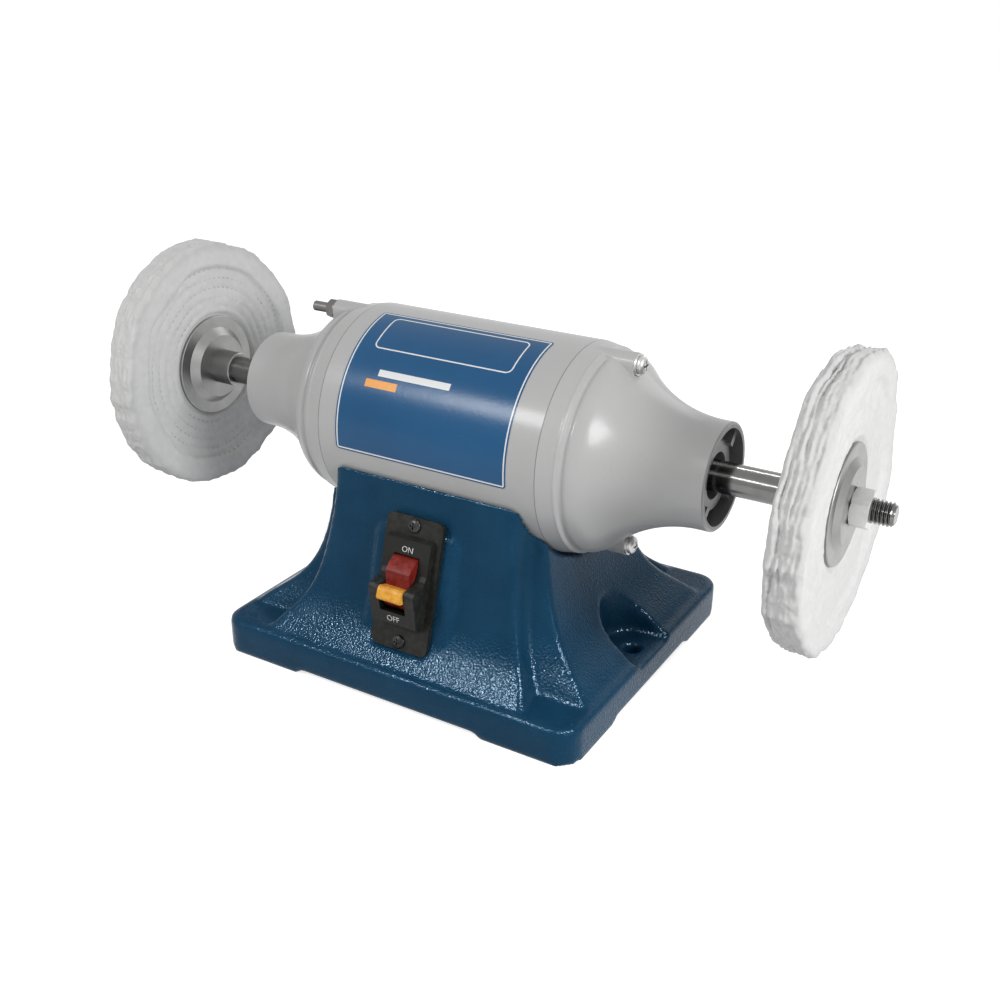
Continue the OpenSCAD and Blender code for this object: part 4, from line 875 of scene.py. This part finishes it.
def buildThread(side):
    size = shaftThread
    pitch = size["pitch"]
    turns = math.ceil((size["tip"] - size["from"]) / pitch) + size["spare"]
    start = size["from"] - size["early"] * pitch
    rise, crest, fall = size["flanks"]
    tooth = [(0.0, size["minor"]), (rise, size["minor"]), (crest, size["major"]), (fall, size["major"])]
    tooth.append((1.0, size["minor"]))
    piece = linePiece("tooth", [(start + u * pitch, 0, r) for u, r in tooth], chain(0, len(tooth)))
    modify(piece, "SCREW", axis="X", angle=fullTurn, screw_offset=pitch, iterations=turns,
           steps=size["steps"], render_steps=size["steps"], use_merge_vertices=True)
    editAll(piece)
    bpy.ops.mesh.remove_doubles(threshold=weldWithin)
    cut((size["from"], 0, 0), (1, 0, 0), use_fill=True, clear_inner=True)
    cut((size["tip"], 0, 0), (1, 0, 0), use_fill=True, clear_outer=True)
    leaveEdit()
    for vertex in piece.data.vertices:
        x, y, z = vertex.co
        limit = size["point"] + (size["tip"] - x) * size["chamfer"]
        shrink = min(1.0, limit / max(limit, math.hypot(y, z)))
        vertex.co = (side * x, y * shrink, z * shrink + axisHeight)
    return piece


def buildShaft():
    size = shaftThread
    piece = mergedCopy("shaft", "threadedShaft")
    editAll(piece)
    for side in (-1, 1):
        cut((side * (size["from"] + size["overlap"]), 0, 0), (side, 0, 0), use_fill=True, clear_outer=True)
    leaveEdit()
    ends = [buildThread(side) for side in (-1, 1)]
    pickOnly(piece)
    for end in ends:
        end.select_set(True)
    bpy.ops.object.join()
    editAll(piece)
    bpy.ops.mesh.normals_make_consistent(inside=False)
    leaveEdit()
    smoothByAngle(piece, size["crease"])
    dress(piece, "shaft_steel")
    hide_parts("shaft")
    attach(piece, "rotor")
    print("shaft", len(piece.data.polygons), "faces")


buildShaft()

# panel on the motor shell, where top and low are angles round the shaft axis
shellPanel = {
    "left": -0.0575, "right": 0.0527, "top": 98.3, "low": 187.0, "radius": 0.05918, "thick": 0.00018,
    "corner": 0.002, "cornerSteps": 5, "rows": 40, "crease": 30,
}


def buildPanel():
    size = shellPanel
    wide = size["right"] - size["left"]
    span = math.radians(size["low"] - size["top"])
    tall = span * size["radius"]
    pickNothing()
    bpy.ops.mesh.primitive_plane_add(size=1, location=(0, 0, 0))
    piece = bpy.context.object
    piece.name = "shellPanel"
    piece.scale = (wide, tall, 1)
    bpy.ops.object.transform_apply(location=True, rotation=True, scale=True)
    editAll(piece)
    bpy.ops.mesh.bevel(offset=size["corner"], segments=size["cornerSteps"], affect="VERTICES")
    for k in range(1, size["rows"]):
        cut((0, tall * (k / size["rows"] - 0.5), 0), (0, 1, 0))
    leaveEdit()
    printed = piece.data.uv_layers[0].data
    for loop in piece.data.loops:
        x, y, _ = piece.data.vertices[loop.vertex_index].co
        printed[loop.index].uv = (x / wide + 0.5, y / tall + 0.5)
    for vertex in piece.data.vertices:
        x, y, _ = vertex.co
        angle = math.radians(size["low"]) - (y / tall + 0.5) * span
        out = size["radius"] * math.cos(angle)
        up = size["radius"] * math.sin(angle)
        vertex.co = (x + (size["left"] + size["right"]) / 2, out, axisHeight + up)
    modify(piece, "SOLIDIFY", thickness=size["thick"], offset=1.0)
    smoothByAngle(piece, size["crease"])
    dress(piece, "panel")
    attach(piece, "stand")
    print("panel", len(piece.data.polygons), "faces")


buildPanel()

# switch lettering, laid on the plate by rays from in front of it
switchWords = {
    "middle": (0, -0.0755, 0.0645), "lean": 16.05, "size": 0.0048, "thinner": -0.00002, "fineness": 4,
    "thick": 0.00012, "sunk": 0.00005, "above": 0.03, "missed": 0.026,
    "rises": {"ON": 0.0200, "OFF": -0.0185},
}


def buildWords():
    size = switchWords
    lean = math.radians(size["lean"])
    upPlate = Vector((0, math.sin(lean), math.cos(lean)))
    outPlate = Vector((0, -math.cos(lean), math.sin(lean)))
    for word, rise in size["rises"].items():
        pickNothing()
        bpy.ops.object.text_add(location=(0, 0, 0))
        piece = bpy.context.object
        piece.name = "word" + word.title()
        piece.data.body = word
        piece.data.align_x = "CENTER"
        piece.data.align_y = "CENTER"
        piece.data.size = size["size"]
        piece.data.offset = size["thinner"]
        piece.data.resolution_u = size["fineness"]
        bpy.ops.object.convert(target="MESH")
        piece = bpy.context.object
        editAll(piece)
        bpy.ops.mesh.subdivide(number_cuts=1)
        leaveEdit()
        for vertex in piece.data.vertices:
            x, y, _ = vertex.co
            start = Vector(size["middle"]) + Vector((x, 0, 0)) + upPlate * (y + rise)
            start += outPlate * size["above"]
            falls = []
            for target in ("switch_plate", "switch_body"):
                hit, spot, *_ = nodes[target].ray_cast(start, -outPlate)
                if hit:
                    falls.append((spot - start).length)
            vertex.co = start - outPlate * (min(falls, default=size["missed"]) - size["sunk"])
        modify(piece, "SOLIDIFY", thickness=size["thick"], offset=1.0)
        dress(piece, "lettering")
        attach(piece, "stand")
    print("switch words set")


buildWords()

# floor and light
studio = {
    "floor": (0.66, 0.66, 0.66), "rough": 0.9, "shine": 0.1, "wide": 60, "sky": 0.38, "paper": 0.74,
    "white": (1, 1, 1, 1), "aim": (0, 0, 0.1),
    "lamps": (
        # name, place, width, height, watts, the one piece on which it is seen as a glint
        ("frontLamp", (-0.69, -1.12, 1.10), 0.34, 0.34, 10.0, None),
        ("sideLamp", (1.00, -0.30, 0.54), 0.30, 0.36, 7.2, None),
        ("backLamp", (0.20, 1.30, 0.80), 0.80, 0.80, 3.0, None),
        ("flareLamp", (-0.44, -0.55, 1.25), 0.28, 0.28, 48.0, "castBase"),
        ("cornerLamp", (0.75, -0.15, 1.30), 0.40, 0.40, 100.0, "castBase"),
        ("frontStrip", (-0.60, -1.12, 1.10), 1.40, 0.07, 8.0, "threadedShaft"),
        ("backStrip", (-0.60, 0.55, 1.50), 1.40, 0.07, 9.0, "threadedShaft"),
    ),
}


def seenWhite(tree):
    # 1 for the rays that see the background or its mirror image, 0 for those that light the object
    rays = addNode(tree, "ShaderNodeLightPath").outputs
    seen = larger(tree, rays["Is Camera Ray"], rays["Is Glossy Ray"])
    return larger(tree, seen, rays["Is Transmission Ray"])


def layFloor():
    pickNothing()
    bpy.ops.mesh.primitive_plane_add(size=studio["wide"], location=(0, 0, 0))
    floor = bpy.context.object
    floor.name = "studioFloor"
    material = bpy.data.materials.new("floorPaper")
    material.use_nodes = True
    tree = material.node_tree
    shader = tree.nodes["Principled BSDF"]
    shader.inputs["Base Color"].default_value = (*studio["floor"], 1.0)
    shader.inputs["Roughness"].default_value = studio["rough"]
    shader.inputs["Specular IOR Level"].default_value = studio["shine"]
    glow = addNode(tree, "ShaderNodeEmission")
    glow.inputs["Color"].default_value = studio["white"]
    link(tree, times(tree, seenWhite(tree), studio["paper"]), glow.inputs["Strength"])
    both = addNode(tree, "ShaderNodeAddShader")
    link(tree, shader.outputs[0], both.inputs[0])
    link(tree, glow.outputs[0], both.inputs[1])
    link(tree, both.outputs[0], tree.nodes["Material Output"].inputs["Surface"])
    floor.data.materials.append(material)


def hangLamps():
    for name, place, wide, high, power, glintOn in studio["lamps"]:
        lampData = bpy.data.lights.new(name, "AREA")
        lampData.shape = "RECTANGLE"
        lampData.size = wide
        lampData.size_y = high
        lampData.energy = power
        lamp = bpy.data.objects.new(name, lampData)
        lamp.location = place
        if glintOn:
            lamp.visible_diffuse = False
            seenOn = bpy.data.collections.new(name + "Glint")
            seenOn.objects.link(bpy.data.objects[glintOn])
            lamp.light_linking.receiver_collection = seenOn
            lamp.light_linking.blocker_collection = seenOn
        aim = Vector(studio["aim"]) - Vector(place)
        lamp.rotation_euler = aim.to_track_quat("-Z", "Y").to_euler()
        bpy.context.collection.objects.link(lamp)


def buildStudio():
    layFloor()
    world = bpy.data.worlds.new("studioSky")
    world.use_nodes = True
    bpy.context.scene.world = world
    tree = world.node_tree
    sky = tree.nodes["Background"]
    sky.inputs["Color"].default_value = studio["white"]
    link(tree, remap(tree, seenWhite(tree), 0.0, 1.0, studio["sky"], 1.0), sky.inputs["Strength"])
    hangLamps()
    bpy.context.scene.view_settings.view_transform = "Standard"


buildStudio()
print("studio lit")
